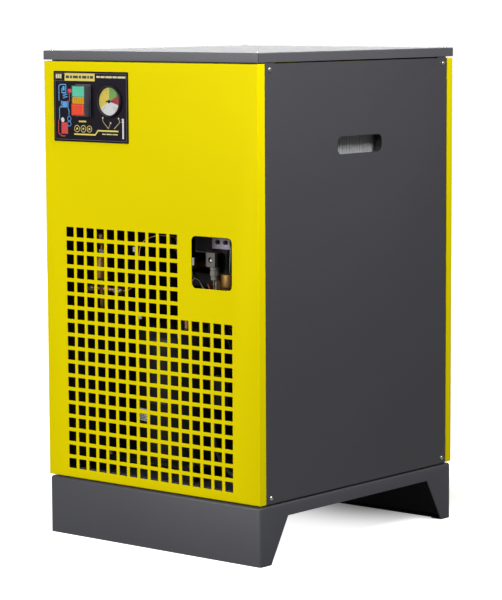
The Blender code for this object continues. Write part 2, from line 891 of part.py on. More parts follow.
def make_timer():
    """The drain timer on top of the coil, with two setting knobs on its front."""
    front = VALVE_Y - 0.019
    timer = block(
        "drain_timer",
        (VALVE_X - 0.022, front, COIL_Z[1] + CLEARANCE),
        (VALVE_X + 0.024, VALVE_Y + 0.015, 0.620),
        "grey_plastic",
    )
    soften(timer, 0.0012)
    for name, x in (("timer_on_knob", VALVE_X - 0.0055), ("timer_off_knob", VALVE_X + 0.0138)):
        base = (x, front - CLEARANCE, 0.611)
        profile = [(0, 0.004), (0.0036, 0.004), (0.0042, 0.0034), (0.0042, 0), (0, 0)]
        knob = turned(name, profile, base, FRONT, "black_plastic", 20)
        slot = block(
            f"{name}_slot",
            (x - 0.0006, front - CLEARANCE - 0.005, 0.611 - 0.003),
            (x + 0.0006, front - CLEARANCE - 0.0032, 0.611 + 0.003),
        )
        cut(knob, slot)


def make_strainer():
    """Brass strainer: an upright barrel, a rear leg with the ball valve and a side leg to the drain valve."""
    x = STRAINER_X
    y = STRAINER_Y
    barrel = [
        (0, 0.5545),
        (0.0155, 0.5545),
        (0.0170, 0.5530),
        (0.0170, 0.530),
        (0.0150, 0.526),
        (0.0090, 0.525),
        (0.0090, 0.513),
        (0, 0.513),
    ]
    body = turned("drain_strainer", barrel, (x, y, 0), UP, "brass", 20)
    rear_leg = rod("strainer_rear_leg", (x, y, FEED_Z), (x, LEG_END_Y, FEED_Z), 0.0095, segments=14)
    side_z = FEED_Z - 0.008
    side_end = (VALVE_X + 0.018 + CLEARANCE, VALVE_Y, side_z)
    side_leg = rod("strainer_side_leg", (x, VALVE_Y, side_z), side_end, 0.0065, segments=12)
    neck = rod("strainer_neck", (x, VALVE_Y, FEED_Z), (x, VALVE_Y, FEED_Z - 0.0155), 0.0080, segments=12)
    join(body, rear_leg, side_leg, neck)
    return body


def make_lever():
    """The quarter-turn lever under the strainer's rear leg. It lies along the pipe when open."""
    top = FEED_Z - 0.0155 - CLEARANCE
    origin = (STRAINER_X, VALVE_Y, top)
    hub = rod("shutoff_lever", origin, (STRAINER_X, VALVE_Y, top - 0.005), 0.0065, "red_plastic", segments=14)
    arm = block(
        "lever_arm",
        (STRAINER_X - 0.0045, VALVE_Y, top - 0.005),
        (STRAINER_X + 0.0045, VALVE_Y + 0.038, top - 0.0025),
        round_along=2,
        radius=0.003,
    )
    join(hub, arm)
    return hub


def make_drain_lines(lead_top):
    """Feed pipe, outlet hose and the lead of the coil's plug."""
    feed_corners = (
        (STRAINER_X, LEG_END_Y + CLEARANCE, FEED_Z),
        (STRAINER_X, FEED_Y, FEED_Z),
        (STRAINER_X, FEED_Y, CORE_LOW[2] - CLEARANCE),
    )
    tube("drain_feed_pipe", bent_route(feed_corners, 0.020), 0.0065, "copper")
    hose = (
        (VALVE_X - 0.018 - CLEARANCE, VALVE_Y, 0.528),
        (0.115, VALVE_Y, 0.528),
        (0.107, VALVE_Y, 0.526),
        (0.092, -0.236, 0.500),
        (0.089, -0.230, 0.400),
        (0.092, -0.228, 0.260),
        (0.115, -0.224, 0.165),
        (0.175, -0.215, 0.140),
        (0.225, -0.185, 0.135),
        (0.244, -0.120, 0.134),
        (0.245, 0.000, 0.134),
        (0.244, 0.110, 0.134),
        (0.232, 0.200, 0.146),
        (0.222, 0.255, SERVICE_Z - 0.003),
        (DRAIN_OUTLET_X, 0.2847, SERVICE_Z),
    )
    tube("drain_hose", smooth_route(hose, 2), 0.0045, "black_rubber")
    lead = (
        (PLUG_X, GLAND_Y, lead_top - CLEARANCE),
        (PLUG_X, GLAND_Y, lead_top - 0.025),
        (PLUG_X - 0.006, GLAND_Y + 0.003, lead_top - 0.050),
        (PLUG_X - 0.027, GLAND_Y + 0.008, lead_top - 0.066),
        (0.080, -0.262, 0.478),
        (0.050, -0.261, 0.505),
        (0.036, -0.261, 0.560),
        (0.028, -0.261, 0.640),
        (0.010, -0.260, 0.730),
        (-0.040, -0.256, 0.800),
        (-0.100, -0.246, 0.845),
        (-0.145, -0.240, 0.868),
        (SWITCH_X + 0.001, -0.250, 0.874),
        (SWITCH_X, SWITCH_BACK_Y + CLEARANCE, 0.875),
    )
    tube("solenoid_lead", smooth_route(lead, 2), 0.0028, "grey_plastic")


def make_condensate_outlet():
    """The bulkhead fitting that the drain hose ends in."""
    profile = [
        (0.0050, 0.0200),
        (0.0100, 0.0200),
        (0.0100, 0.0100),
        (0.0150, 0.0095),
        (0.0150, CLEARANCE),
        (0.0095, CLEARANCE),
        (0.0095, -0.012),
        (0.0060, -0.013),
        (0.0060, -0.0275),
        (0, -0.0275),
        (0, 0.0050),
        (0.0050, 0.0050),
        (0.0050, 0.0200),
    ]
    turned("condensate_outlet", profile, (DRAIN_OUTLET_X, HALF_DEPTH, SERVICE_Z), REAR, "brass", 12)


def make_power_gland():
    profile = [
        (0.0060, 0.0200),
        (0.0105, 0.0200),
        (0.0125, 0.0175),
        (0.0125, 0.0090),
        (0.0150, 0.0080),
        (0.0150, CLEARANCE),
        (0.0095, CLEARANCE),
        (0.0095, -0.012),
        (0.0060, -0.012),
        (0.0060, 0.0200),
    ]
    turned("power_cable_gland", profile, (POWER_GLAND_X, HALF_DEPTH, SERVICE_Z), REAR, "black_plastic", 12)


# Refrigeration circuit


def make_compressor():
    """Hermetic compressor: a domed can, open underneath, on a square foot plate."""
    foot = BASE_HEIGHT + 0.026
    shoulder = foot + 0.235
    dome = 0.036
    crown = 0.070
    profile = [(0, shoulder + dome), (crown, shoulder + dome)]
    for step in range(1, 4):
        turn = math.radians(90 * step / 3)
        radius = crown + (COMPRESSOR_RADIUS - crown) * math.sin(turn)
        profile.append((radius, shoulder + dome * math.cos(turn)))
    profile += [(COMPRESSOR_RADIUS, foot), (0, foot)]
    base = (COMPRESSOR_X, COMPRESSOR_Y, 0)
    can = turned("compressor", profile, base, UP, "black_paint", 28)
    half = FOOT_SPACING / 2 + 0.016
    plate = block(
        "compressor_foot_plate",
        (COMPRESSOR_X - half, COMPRESSOR_Y - half, foot - 0.0015),
        (COMPRESSOR_X + half, COMPRESSOR_Y + half, foot + 0.0025),
        round_along=2,
        radius=0.020,
    )
    side = COMPRESSOR_X + COMPRESSOR_RADIUS
    terminals = block(
        "terminal_cover",
        (side - 0.020, COMPRESSOR_Y - 0.030, foot + 0.110),
        (side + 0.026, COMPRESSOR_Y + 0.030, foot + 0.180),
        round_along=0,
        radius=0.006,
        steps=2,
    )
    join(can, plate, terminals)
    cut(can, rod("compressor_hollow", (*base[:2], foot - 0.01), (*base[:2], shoulder), 0.092, segments=16))
    for x_way in (-1, 1):
        for y_way in (-1, 1):
            x = COMPRESSOR_X + x_way * FOOT_SPACING / 2
            y = COMPRESSOR_Y + y_way * FOOT_SPACING / 2
            start = (x, y, foot - 0.01)
            cut(can, rod(f"grommet_hole_{x_way}_{y_way}", start, (x, y, foot + 0.01), 0.009, segments=10))
    return shoulder + dome


def make_condenser():
    """Condenser block, with air passages from front to rear."""
    bottom = BASE_HEIGHT + CLEARANCE
    low = (FAN_X - COIL_HALF_WIDTH, 0.150, bottom)
    high = (FAN_X + COIL_HALF_WIDTH, 0.200, 0.540)
    coil = block("condenser_coil", low, high, "aluminium")
    count = 12
    pitch = 0.033
    middle = (low[1] + high[1]) / 2
    centres = [(FAN_X + (number - (count - 1) / 2) * pitch, middle, FAN_Z) for number in range(count)]
    cut(coil, boxes_cutter("air_passages", centres, (0.026, 0.060, 0.375)))
    return coil


def make_fan():
    """Shroud, motor on its cross bars, and the fan, blowing out through the rear grille."""
    half = COIL_HALF_WIDTH
    shroud = sheet(
        "fan_shroud",
        (FAN_X - half, 0.204, FAN_Z - half),
        (FAN_X + half, 0.264, FAN_Z + half),
        [REAR],
        DOOR_SHEET,
        "galvanised",
    )
    opening_end = (FAN_X, 0.210, FAN_Z)
    cut(shroud, rod("shroud_opening", (FAN_X, 0.200, FAN_Z), opening_end, FAN_RADIUS + 0.010, segments=32))
    centre = (FAN_X, 0.2525, FAN_Z)
    motor_profile = [(0, 0.030), (0.030, 0.030), (0.040, 0.024), (0.040, 0.003), (0.036, 0), (0, 0)]
    motor = turned("fan_motor", motor_profile, centre, REAR, "black_paint", 24)
    reach = half - 0.004
    near = 0.264 + CLEARANCE
    far = near + 0.003
    bar = 0.008
    across = block("motor_bar_across", (FAN_X - reach, near, FAN_Z - bar), (FAN_X + reach, far, FAN_Z + bar))
    low = (FAN_X - bar, near, FAN_Z - reach)
    upright = block("motor_bar_upright", low, (FAN_X + bar, far, FAN_Z + reach))
    shaft = rod("motor_shaft", (FAN_X, 0.256, FAN_Z), (FAN_X, 0.226, FAN_Z), 0.004, segments=10)
    join(motor, across, upright, shaft)
    hub_profile = ring_profile(0.0, 0.034, -0.034, -0.003)[:-1]
    hub = turned("fan_blade", hub_profile, centre, REAR, "aluminium", 20)
    for number in range(BLADE_COUNT):
        join(hub, fan_vane(number))
    bore = rod("fan_bore", (FAN_X, 0.254, FAN_Z), (FAN_X, 0.2245, FAN_Z), 0.0046, segments=10)
    cut(hub, bore)


def fan_vane(number):
    """One vane: a curved, pitched plate that widens towards its tip."""
    rows = 4
    columns = 3
    bm = bmesh.new()
    bmesh.ops.create_grid(bm, x_segments=rows - 1, y_segments=columns - 1, size=0.5)
    root = 0.026
    tip = FAN_RADIUS
    for vert in bm.verts:
        along = vert.co.x + 0.5
        across = vert.co.y * 2
        radius = root + (tip - root) * along
        chord = 0.024 + 0.030 * along
        pitch = math.radians(34 - 12 * along)
        camber = 0.004 * (1 - across**2)
        sweep = across * chord * math.cos(pitch) - 0.004 * along
        depth = across * chord * 0.5 * math.sin(pitch) + camber
        vert.co = (radius, depth, sweep)
    bmesh.ops.recalc_face_normals(bm, faces=bm.faces)
    vane = place(f"fan_vane_{number}", to_mesh("fan_vane", bm), None, (FAN_X, 0.234, FAN_Z))
    vane.rotation_euler = (0, math.radians(360 / BLADE_COUNT * number), 0)
    plate = vane.modifiers.new("Plate", "SOLIDIFY")
    plate.thickness = 0.002
    plate.offset = 0.0
    return vane


def make_hot_gas_valve():
    """Upright bypass valve with a cap on top and a flare nut at each side."""
    profile = [
        (0, 0.612),
        (0.0085, 0.608),
        (0.0085, 0.588),
        (0.0050, 0.586),
        (0.0050, 0.568),
        (0.0110, 0.566),
        (0.0155, 0.541),
        (0.0155, 0.522),
        (0.0110, 0.518),
        (0.0065, 0.478),
        (0.0065, 0.462),
        (0, 0.462),
    ]
    x = -0.181
    y = -0.250
    z = 0.498
    valve = turned("hot_gas_valve", profile, (x, y, 0), UP, "brass", 16)
    pipe = rod("valve_cross_pipe", (x - 0.045, y, z), (x + 0.055, y, z), 0.0050, segments=10)
    join(valve, pipe)
    for near, far in ((-0.040, -0.026), (0.036, 0.050)):
        nut = rod(f"flare_nut_{far:.3f}", (x + near, y, z), (x + far, y, z), 0.0095, segments=6)
        join(valve, nut)


def make_filter_drier():
    profile = [
        (0, 0.360),
        (0.0050, 0.360),
        (0.0050, 0.336),
        (0.0240, 0.318),
        (0.0240, 0.212),
        (0.0050, 0.194),
        (0.0050, 0.170),
        (0, 0.170),
    ]
    turned("filter_drier", profile, (0.085, 0.060, 0), UP, "copper", 20)


def make_refrigerant_pipes(crown):
    suction = (
        (COMPRESSOR_X + 0.040, COMPRESSOR_Y - 0.040, crown + CLEARANCE),
        (COMPRESSOR_X + 0.040, COMPRESSOR_Y - 0.040, 0.515),
        (COMPRESSOR_X + 0.125, SUCTION_Y, 0.515),
        (SUCTION_X, SUCTION_Y, 0.515),
        (SUCTION_X, SUCTION_Y, CORE_LOW[2] - CLEARANCE),
    )
    tube("suction_pipe", bent_route(suction, 0.025), 0.0095, "copper")
    discharge = (
        (COMPRESSOR_X - 0.030, COMPRESSOR_Y + 0.035, crown + CLEARANCE),
        (COMPRESSOR_X - 0.030, COMPRESSOR_Y + 0.035, 0.528),
        (COMPRESSOR_X - 0.030, 0.150 - CLEARANCE, 0.528),
    )
    tube("discharge_pipe", bent_route(discharge, 0.022), 0.0065, "copper")


# Heat exchanger and air pipes


def make_exchanger():
    """Plate heat exchanger with ribbed end plates, in a foam jacket that is open at the right side."""
    core = block("heat_exchanger_core", CORE_LOW, CORE_HIGH, "aluminium")
    wall = 0.017
    chamber = block(
        "exchanger_chamber",
        (CORE_LOW[0] - 0.005, CORE_LOW[1] + wall, CORE_LOW[2] + wall),
        (CORE_HIGH[0] - wall, CORE_HIGH[1] - wall, CORE_HIGH[2] - wall),
    )
    count = 12
    pitch = (CORE_HIGH[1] - CORE_LOW[1]) / (count + 1)
    middle = (CORE_LOW[2] + CORE_HIGH[2]) / 2
    height = CORE_HIGH[2] - CORE_LOW[2] - 0.030
    centres = [(CORE_HIGH[0], CORE_LOW[1] + (number + 1) * pitch, middle) for number in range(count)]
    cut(core, chamber, boxes_cutter("plate_grooves", centres, (0.006, 0.005, height)))

    outer = WRAP + CLEARANCE
    jacket = sheet(
        "exchanger_jacket",
        (CORE_LOW[0] - outer, CORE_LOW[1] - outer, CORE_LOW[2] - outer),
        (CORE_HIGH[0] - 0.001, CORE_HIGH[1] + outer, CORE_HIGH[2] + outer),
        [RIGHT],
        WRAP,
        "black_foam",
    )
    bottom = CORE_LOW[2] - outer
    for name, x, y, radius in PIPE_HOLES:
        start = (x, y, bottom - 0.002)
        end = (x, y, CORE_LOW[2] - 0.0001)
        cut(jacket, rod(f"jacket_{name}_hole", start, end, radius, segments=12))
    for x in AIR_PIPE_X:
        start = (x, CORE_HIGH[1] + 0.0001, AIR_PIPE_Z)
        end = (x, CORE_HIGH[1] + outer + 0.002, AIR_PIPE_Z)
        cut(jacket, rod(f"jacket_air_hole_{x:.3f}", start, end, PIPE_RADIUS + 0.0015, segments=16))


def make_stand():
    """Stand under the exchanger: a shelf on two upright plates that rest on the base pan."""
    top = CORE_LOW[2] - WRAP - 2 * CLEARANCE
    plate = 0.003
    shelf = block("exchanger_stand", (0.036, -0.216, top - plate), (0.258, 0.170, top), "galvanised")
    bottom = BASE_HEIGHT + CLEARANCE
    right = block("stand_right_leg", (0.255, -0.150, bottom), (0.258, 0.150, top))
    left = block("stand_left_leg", (0.036, -0.060, bottom), (0.039, 0.140, top))
    join(shelf, right, left)
    for name, x, y, radius in PIPE_HOLES:
        cut(shelf, rod(f"shelf_{name}_hole", (x, y, top - 0.01), (x, y, top + 0.01), radius, segments=12))
    return shelf


def make_air_pipes():
    """Inlet and outlet pipes from the exchanger to the threaded sockets at the rear."""
    tip = HALF_DEPTH + STOP_PROUD
    start = CORE_HIGH[1] + CLEARANCE
    length = tip - start
    for name, x in zip(("air_inlet_pipe", "air_outlet_pipe"), AIR_PIPE_X):
        profile = [
            (0.0205, length),
            (SOCKET_RADIUS, length),
            (SOCKET_RADIUS, length - 0.034),
            (PIPE_RADIUS, length - 0.038),
            (PIPE_RADIUS, 0),
            (0.0185, 0),
            (0.0185, length - 0.030),
            (0.0205, length - 0.028),
            (0.0205, length),
        ]
        turned(name, profile, (x, start, AIR_PIPE_Z), REAR, "galvanised", 20)


def build():
    make_base()
    lid = make_lid()
    make_front_panel()
    make_rear_panel()
    frames = {-1: make_frame("front_frame", -1), 1: make_frame("rear_frame", 1)}
    for name, side in (("right", 1), ("left", -1)):
        panel = make_side(name, side)
        make_foam(name, side)
        make_side_screws(name, side, panel, frames)
    make_lid_screws(lid, frames)
    make_label()
    make_switch()
    make_gauge()
    make_drain_valve()
    lead_top = make_plug_connector()
    make_timer()
    make_strainer()
    make_lever()
    make_drain_lines(lead_top)
    make_condensate_outlet()
    make_power_gland()
    crown = make_compressor()
    make_condenser()
    make_fan()
    make_hot_gas_valve()
    make_filter_drier()
    make_refrigerant_pipes(crown)
    make_exchanger()
    make_stand()
    make_air_pipes()


build()
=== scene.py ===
import json
import math

import bmesh
import bpy
from mathutils import Matrix, Vector

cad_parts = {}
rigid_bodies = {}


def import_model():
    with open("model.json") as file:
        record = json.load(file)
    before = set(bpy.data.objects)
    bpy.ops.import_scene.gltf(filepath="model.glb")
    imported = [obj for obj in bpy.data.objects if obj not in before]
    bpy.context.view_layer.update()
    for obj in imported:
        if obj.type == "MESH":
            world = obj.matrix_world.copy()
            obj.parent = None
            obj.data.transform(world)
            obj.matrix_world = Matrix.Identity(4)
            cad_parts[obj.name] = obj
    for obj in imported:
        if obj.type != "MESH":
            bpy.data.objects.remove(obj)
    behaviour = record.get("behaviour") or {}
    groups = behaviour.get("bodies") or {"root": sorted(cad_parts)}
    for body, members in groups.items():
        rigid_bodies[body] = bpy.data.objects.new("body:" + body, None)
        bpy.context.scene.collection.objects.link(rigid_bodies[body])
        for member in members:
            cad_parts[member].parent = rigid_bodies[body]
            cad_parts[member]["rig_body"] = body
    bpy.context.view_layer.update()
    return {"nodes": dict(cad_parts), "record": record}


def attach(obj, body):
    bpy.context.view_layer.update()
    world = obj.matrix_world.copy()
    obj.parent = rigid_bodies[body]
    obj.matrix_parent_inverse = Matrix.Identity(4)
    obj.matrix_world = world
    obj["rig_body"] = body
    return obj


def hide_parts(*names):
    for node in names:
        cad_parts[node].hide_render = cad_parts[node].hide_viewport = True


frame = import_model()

nodes = frame["nodes"]
slotOf = {part["node"]: part["material_slot"] for part in frame["record"]["subparts"]}
print("frame loaded:", len(nodes), "nodes")

# small helpers

right = Vector((1, 0, 0))
rear = Vector((0, 1, 0))
front = Vector((0, -1, 0))
up = Vector((0, 0, 1))
hair = 0.0001  # the least gap or overlap that a made piece keeps


def linkMesh(name, bm, material, body="cabinet", smoothAngle=38):
    # turns a bmesh into a piece that rides on a body
    mesh = bpy.data.meshes.new(name)
    bmesh.ops.recalc_face_normals(bm, faces=bm.faces)
    bm.to_mesh(mesh)
    bm.free()
    packedNormals = mesh.attributes.get("custom_normal")
    if packedNormals:
        mesh.attributes.remove(packedNormals)
    mesh.shade_smooth()
    mesh.set_sharp_from_angle(angle=math.radians(smoothAngle))
    piece = bpy.data.objects.new(name, mesh)
    bpy.context.scene.collection.objects.link(piece)
    mesh.materials.clear()
    mesh.materials.append(material)
    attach(piece, body)
    return piece


def softEdges(piece, width, segments=2, angle=35):
    bevel = piece.modifiers.new("softEdges", "BEVEL")
    bevel.width = width
    bevel.segments = segments
    bevel.limit_method = "ANGLE"
    bevel.angle_limit = math.radians(angle)
    bevel.harden_normals = True
    return piece


def standFor(piece, *nodeNames):
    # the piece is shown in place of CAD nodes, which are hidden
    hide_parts(*nodeNames)
    return piece


def refined(name, nodeName, material, width=0.0004, segments=2, smoothAngle=38):
    # a CAD node's shape with its flat faces whole, its bends smooth and its rims eased
    bm = bmesh.new()
    bm.from_mesh(nodes[nodeName].data)
    bmesh.ops.remove_doubles(bm, verts=bm.verts, dist=0.00002)
    bmesh.ops.dissolve_limit(bm, angle_limit=math.radians(0.5), verts=bm.verts, edges=bm.edges)
    piece = linkMesh(name, bm, material, nodes[nodeName]["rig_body"], smoothAngle)
    if width:
        softEdges(piece, width, segments)
    return standFor(piece, nodeName)


def addBlock(bm, low, high):
    low = Vector(low)
    high = Vector(high)
    place = Matrix.Translation((low + high) / 2) @ Matrix.Diagonal((*(high - low), 1.0))
    return bmesh.ops.create_cube(bm, size=1.0, matrix=place)["verts"]


def alongAxis(base, axis):
    # a frame at the base whose Z runs along the axis
    return Matrix.Translation(base) @ Vector(axis).to_track_quat("Z", "Y").to_matrix().to_4x4()


def addRod(bm, start, end, radius, sides=24, endRadius=None):
    run = Vector(end) - Vector(start)
    place = alongAxis(start, run) @ Matrix.Translation((0, 0, run.length / 2))
    last = radius if endRadius is None else endRadius
    made = bmesh.ops.create_cone(
        bm, cap_ends=True, segments=sides, radius1=radius, radius2=last, depth=run.length, matrix=place
    )
    return made["verts"]


def addTurned(bm, profile, base, axis, steps=48):
    # spins (radius, height) points round an axis through the base
    place = alongAxis(base, axis)
    corners = [bm.verts.new(place @ Vector((radius, 0, height))) for radius, height in profile]
    edges = [bm.edges.new(pair) for pair in zip(corners, corners[1:])]
    spun = bmesh.ops.spin(
        bm, geom=corners + edges, cent=Vector(base), axis=Vector(axis).normalized(),
        angle=math.tau, steps=steps,
    )
    bmesh.ops.remove_doubles(bm, verts=bm.verts, dist=0.000004)
    return spun


def arcPoints(centre, radius, start, end, steps):
    # points on an arc in a plane, with angles in degrees
    points = []
    for step in range(steps + 1):
        turn = math.radians(start + (end - start) * step / steps)
        points.append((centre[0] + radius * math.cos(turn), centre[1] + radius * math.sin(turn)))
    return points


def addPlate(bm, outline, place, thickness):
    # a flat outline in a frame's XY plane, made a plate along its Z
    face = bm.faces.new([bm.verts.new(place @ Vector((u, v, 0))) for u, v in outline])
    grown = bmesh.ops.extrude_face_region(bm, geom=[face])["geom"]
    moved = [item for item in grown if isinstance(item, bmesh.types.BMVert)]
    bmesh.ops.translate(bm, vec=place.to_3x3() @ Vector((0, 0, thickness)), verts=moved)
    return moved


def turnedPiece(name, profile, base, axis, material, body="cabinet", steps=48):
    bm = bmesh.new()
    addTurned(bm, profile, base, axis, steps)
    return linkMesh(name, bm, material, body)


def pipePiece(name, corners, bend, radius, material):
    # a pipe of straight runs and round bends
    curve = bpy.data.curves.new(name, "CURVE")
    curve.dimensions = "3D"
    curve.bevel_depth = radius
    curve.bevel_resolution = 5
    curve.use_fill_caps = True
    corners = [Vector(corner) for corner in corners]
    knots = [(corners[0], None, None)]
    for before, corner, after in zip(corners, corners[1:], corners[2:]):
        arriving = (before - corner).normalized()
        leaving = (after - corner).normalized()
        halfAngle = arriving.angle(leaving) / 2
        setback = bend / math.tan(halfAngle)
        reach = bend * 4 / 3 * math.tan((math.pi - 2 * halfAngle) / 4)
        knots.append((corner + arriving * setback, None, -arriving * reach))
        knots.append((corner + leaving * setback, -leaving * reach, None))
    knots.append((corners[-1], None, None))
    line = curve.splines.new("BEZIER")
    line.resolution_u = 10
    line.bezier_points.add(len(knots) - 1)
    for index, (point, (spot, came, goes)) in enumerate(zip(line.bezier_points, knots)):
        previous = knots[max(index - 1, 0)][0]
        following = knots[min(index + 1, len(knots) - 1)][0]
        point.co = spot
        point.handle_left = spot + (came if came else (previous - spot) / 3)
        point.handle_right = spot + (goes if goes else (following - spot) / 3)
    return linkCurve(name, curve, material)


def leadPiece(name, route, radius, material, shift=(0, 0, 0)):
    # a flexible line through its points
    curve = bpy.data.curves.new(name, "CURVE")
    curve.dimensions = "3D"
    curve.bevel_depth = radius
    curve.bevel_resolution = 4
    curve.use_fill_caps = True
    line = curve.splines.new("BEZIER")
    line.resolution_u = 8
    line.bezier_points.add(len(route) - 1)
    for point, spot in zip(line.bezier_points, route):
        point.co = Vector(spot) + Vector(shift)
        point.handle_left_type = "AUTO"
        point.handle_right_type = "AUTO"
    return linkCurve(name, curve, material)


def linkCurve(name, curve, material, body="cabinet"):
    curve.materials.append(material)
    piece = bpy.data.objects.new(name, curve)
    bpy.context.scene.collection.objects.link(piece)
    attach(piece, body)
    return piece


# camera, light and stage

cameraPlace = {
    "location": (3.3120, -3.9726, 1.0706),
    "yaw": 0.6953,
    "pitch": 0.1166,
    "roll": -0.0048,
    "lens": 153.07,
    "sensor": 36.0,
}


def makeCamera():
    data = bpy.data.cameras.new("viewCamera")
    data.lens = cameraPlace["lens"]
    data.sensor_width = cameraPlace["sensor"]
    data.clip_start = 0.1
    data.clip_end = 100.0
    camera = bpy.data.objects.new("viewCamera", data)
    bpy.context.scene.collection.objects.link(camera)
    turn = Matrix.Rotation(cameraPlace["yaw"], 4, "Z")
    tilt = Matrix.Rotation(math.pi / 2 - cameraPlace["pitch"], 4, "X")
    roll = Matrix.Rotation(cameraPlace["roll"], 4, "Z")
    camera.matrix_world = Matrix.Translation(cameraPlace["location"]) @ turn @ tilt @ roll
    bpy.context.scene.camera = camera
    return camera


makeCamera()

studio = {
    "roomStrength": 0.21,
    "backdropStrength": 1.05,
    "floorAlbedo": (0.20, 0.82),
    # a point under the cabinet, and the distances round it over which the floor glow rises: the shape of a
    # painted soft shadow
    "paintedShadowCentre": (0.04, 0.42, 0.0),
    "paintedShadowReach": (0.08, 0.40),
    "floorGlow": (0.10, 1.0),
    "floorHalf": 14.0,
    "lights": (
        # name, location, aim, width, height, power
        ("keySoftbox", (-1.4, -4.3, 1.9), (0.0, -0.2, 0.50), 3.0, 2.4, 148.0),
        ("sideSoftbox", (1.45, -0.42, 2.00), (0.27, -0.20, 0.90), 0.8, 0.7, 38.0),
        ("topSoftbox", (0.0, 0.9, 3.6), (0.0, 0.0, 0.5), 2.4, 2.4, 37.0),
        ("rearSoftbox", (-3.2, 3.9, 1.5), (0.0, 0.0, 0.9), 3.6, 1.6, 70.0),
    ),
}


def makeLight(name, location, aim, width, height, power):
    data = bpy.data.lights.new(name, "AREA")
    data.shape = "RECTANGLE"
    data.size = width
    data.size_y = height
    data.energy = power
    lamp = bpy.data.objects.new(name, data)
    bpy.context.scene.collection.objects.link(lamp)
    lamp.location = location
    lamp.rotation_euler = (Vector(aim) - Vector(location)).to_track_quat("-Z", "Y").to_euler()
    lamp.visible_camera = False


def makeWorld():
    # the camera sees a white backdrop, everything else a dimmer room
    world = bpy.data.worlds.new("studioWorld")
    bpy.context.scene.world = world
    world.use_nodes = True
    tree = world.node_tree
    tree.nodes.clear()
    output = tree.nodes.new("ShaderNodeOutputWorld")
    shades = []
    for strength in (studio["roomStrength"], studio["backdropStrength"]):
        shade = tree.nodes.new("ShaderNodeBackground")
        shade.inputs["Color"].default_value = (1.0, 1.0, 1.0, 1.0)
        shade.inputs["Strength"].default_value = strength
        shades.append(shade)
    path = tree.nodes.new("ShaderNodeLightPath")
    mix = tree.nodes.new("ShaderNodeMixShader")
    tree.links.new(path.outputs["Is Camera Ray"], mix.inputs["Fac"])
    tree.links.new(shades[0].outputs["Background"], mix.inputs[1])
    tree.links.new(shades[1].outputs["Background"], mix.inputs[2])
    tree.links.new(mix.outputs["Shader"], output.inputs["Surface"])


def makeFloor():
    # white to the camera and dimmer to everything else; a glow, again for the camera only, hides where the
    # floor ends, and its fall to a low value round a point under the cabinet is a painted soft shadow
    bm = bmesh.new()
    bmesh.ops.create_grid(bm, x_segments=4, y_segments=4, size=studio["floorHalf"])
    mesh = bpy.data.meshes.new("studioFloor")
    bm.to_mesh(mesh)
    bm.free()
    floor = bpy.data.objects.new("studioFloor", mesh)
    bpy.context.scene.collection.objects.link(floor)
    material = bpy.data.materials.new("floorWhite")
    material.use_nodes = True
    tree = material.node_tree
    shader = tree.nodes["Principled BSDF"]
    shader.inputs["Roughness"].default_value = 0.8
    shader.inputs["Specular IOR Level"].default_value = 0.1
    shader.inputs["Emission Color"].default_value = (1.0, 1.0, 1.0, 1.0)
    path = tree.nodes.new("ShaderNodeLightPath")
    albedo = tree.nodes.new("ShaderNodeMapRange")
    albedo.inputs["To Min"].default_value = studio["floorAlbedo"][0]
    albedo.inputs["To Max"].default_value = studio["floorAlbedo"][1]
    tree.links.new(path.outputs["Is Camera Ray"], albedo.inputs["Value"])
    tree.links.new(albedo.outputs["Result"], shader.inputs["Base Color"])
    spot = tree.nodes.new("ShaderNodeNewGeometry")
    away = tree.nodes.new("ShaderNodeVectorMath")
    away.operation = "DISTANCE"
    away.inputs[1].default_value = studio["paintedShadowCentre"]
    tree.links.new(spot.outputs["Position"], away.inputs[0])
    # the glow is least near the point under the cabinet: painted shadow on the floor
    glow = tree.nodes.new("ShaderNodeMapRange")
    glow.interpolation_type = "SMOOTHSTEP"
    glow.inputs["From Min"].default_value = studio["paintedShadowReach"][0]
    glow.inputs["From Max"].default_value = studio["paintedShadowReach"][1]
    glow.inputs["To Min"].default_value = studio["floorGlow"][0]
    glow.inputs["To Max"].default_value = studio["floorGlow"][1]
    tree.links.new(away.outputs["Value"], glow.inputs["Value"])
    seen = tree.nodes.new("ShaderNodeMath")
    seen.operation = "MULTIPLY"
    tree.links.new(glow.outputs["Result"], seen.inputs[0])
    tree.links.new(path.outputs["Is Camera Ray"], seen.inputs[1])
    tree.links.new(seen.outputs[0], shader.inputs["Emission Strength"])
    mesh.materials.append(material)


makeWorld()
for light in studio["lights"]:
    makeLight(*light)
makeFloor()
bpy.context.scene.view_settings.view_transform = "Standard"
print("camera, light and floor made")

# shader node groups, shared by the materials


def startGroup(name, inputs, outputs):
    # an empty node group with named sockets: (name, kind, default)
    group = bpy.data.node_groups.new(name, "ShaderNodeTree")
    for label, kind, default in inputs:
        socket = group.interface.new_socket(name=label, in_out="INPUT", socket_type=kind)
        socket.default_value = default
    for label, kind in outputs:
        group.interface.new_socket(name=label, in_out="OUTPUT", socket_type=kind)
    entry = group.nodes.new("NodeGroupInput")
    leave = group.nodes.new("NodeGroupOutput")
    return group, entry, leave


def noiseNode(tree, vector, scale, detail=2.0, rough=0.5):
    node = tree.nodes.new("ShaderNodeTexNoise")
    node.inputs["Detail"].default_value = detail
    node.inputs["Roughness"].default_value = rough
    tree.links.new(vector, node.inputs["Vector"])
    if isinstance(scale, (int, float)):
        node.inputs["Scale"].default_value = scale
    else:
        tree.links.new(scale, node.inputs["Scale"])
    return node.outputs["Fac"]


def mathNode(tree, operation, first, second=0.0, third=0.0):
    node = tree.nodes.new("ShaderNodeMath")
    node.operation = operation
    for index, value in enumerate((first, second, third)):
        if isinstance(value, (int, float)):
            node.inputs[index].default_value = value
        else:
            tree.links.new(value, node.inputs[index])
    return node.outputs[0]


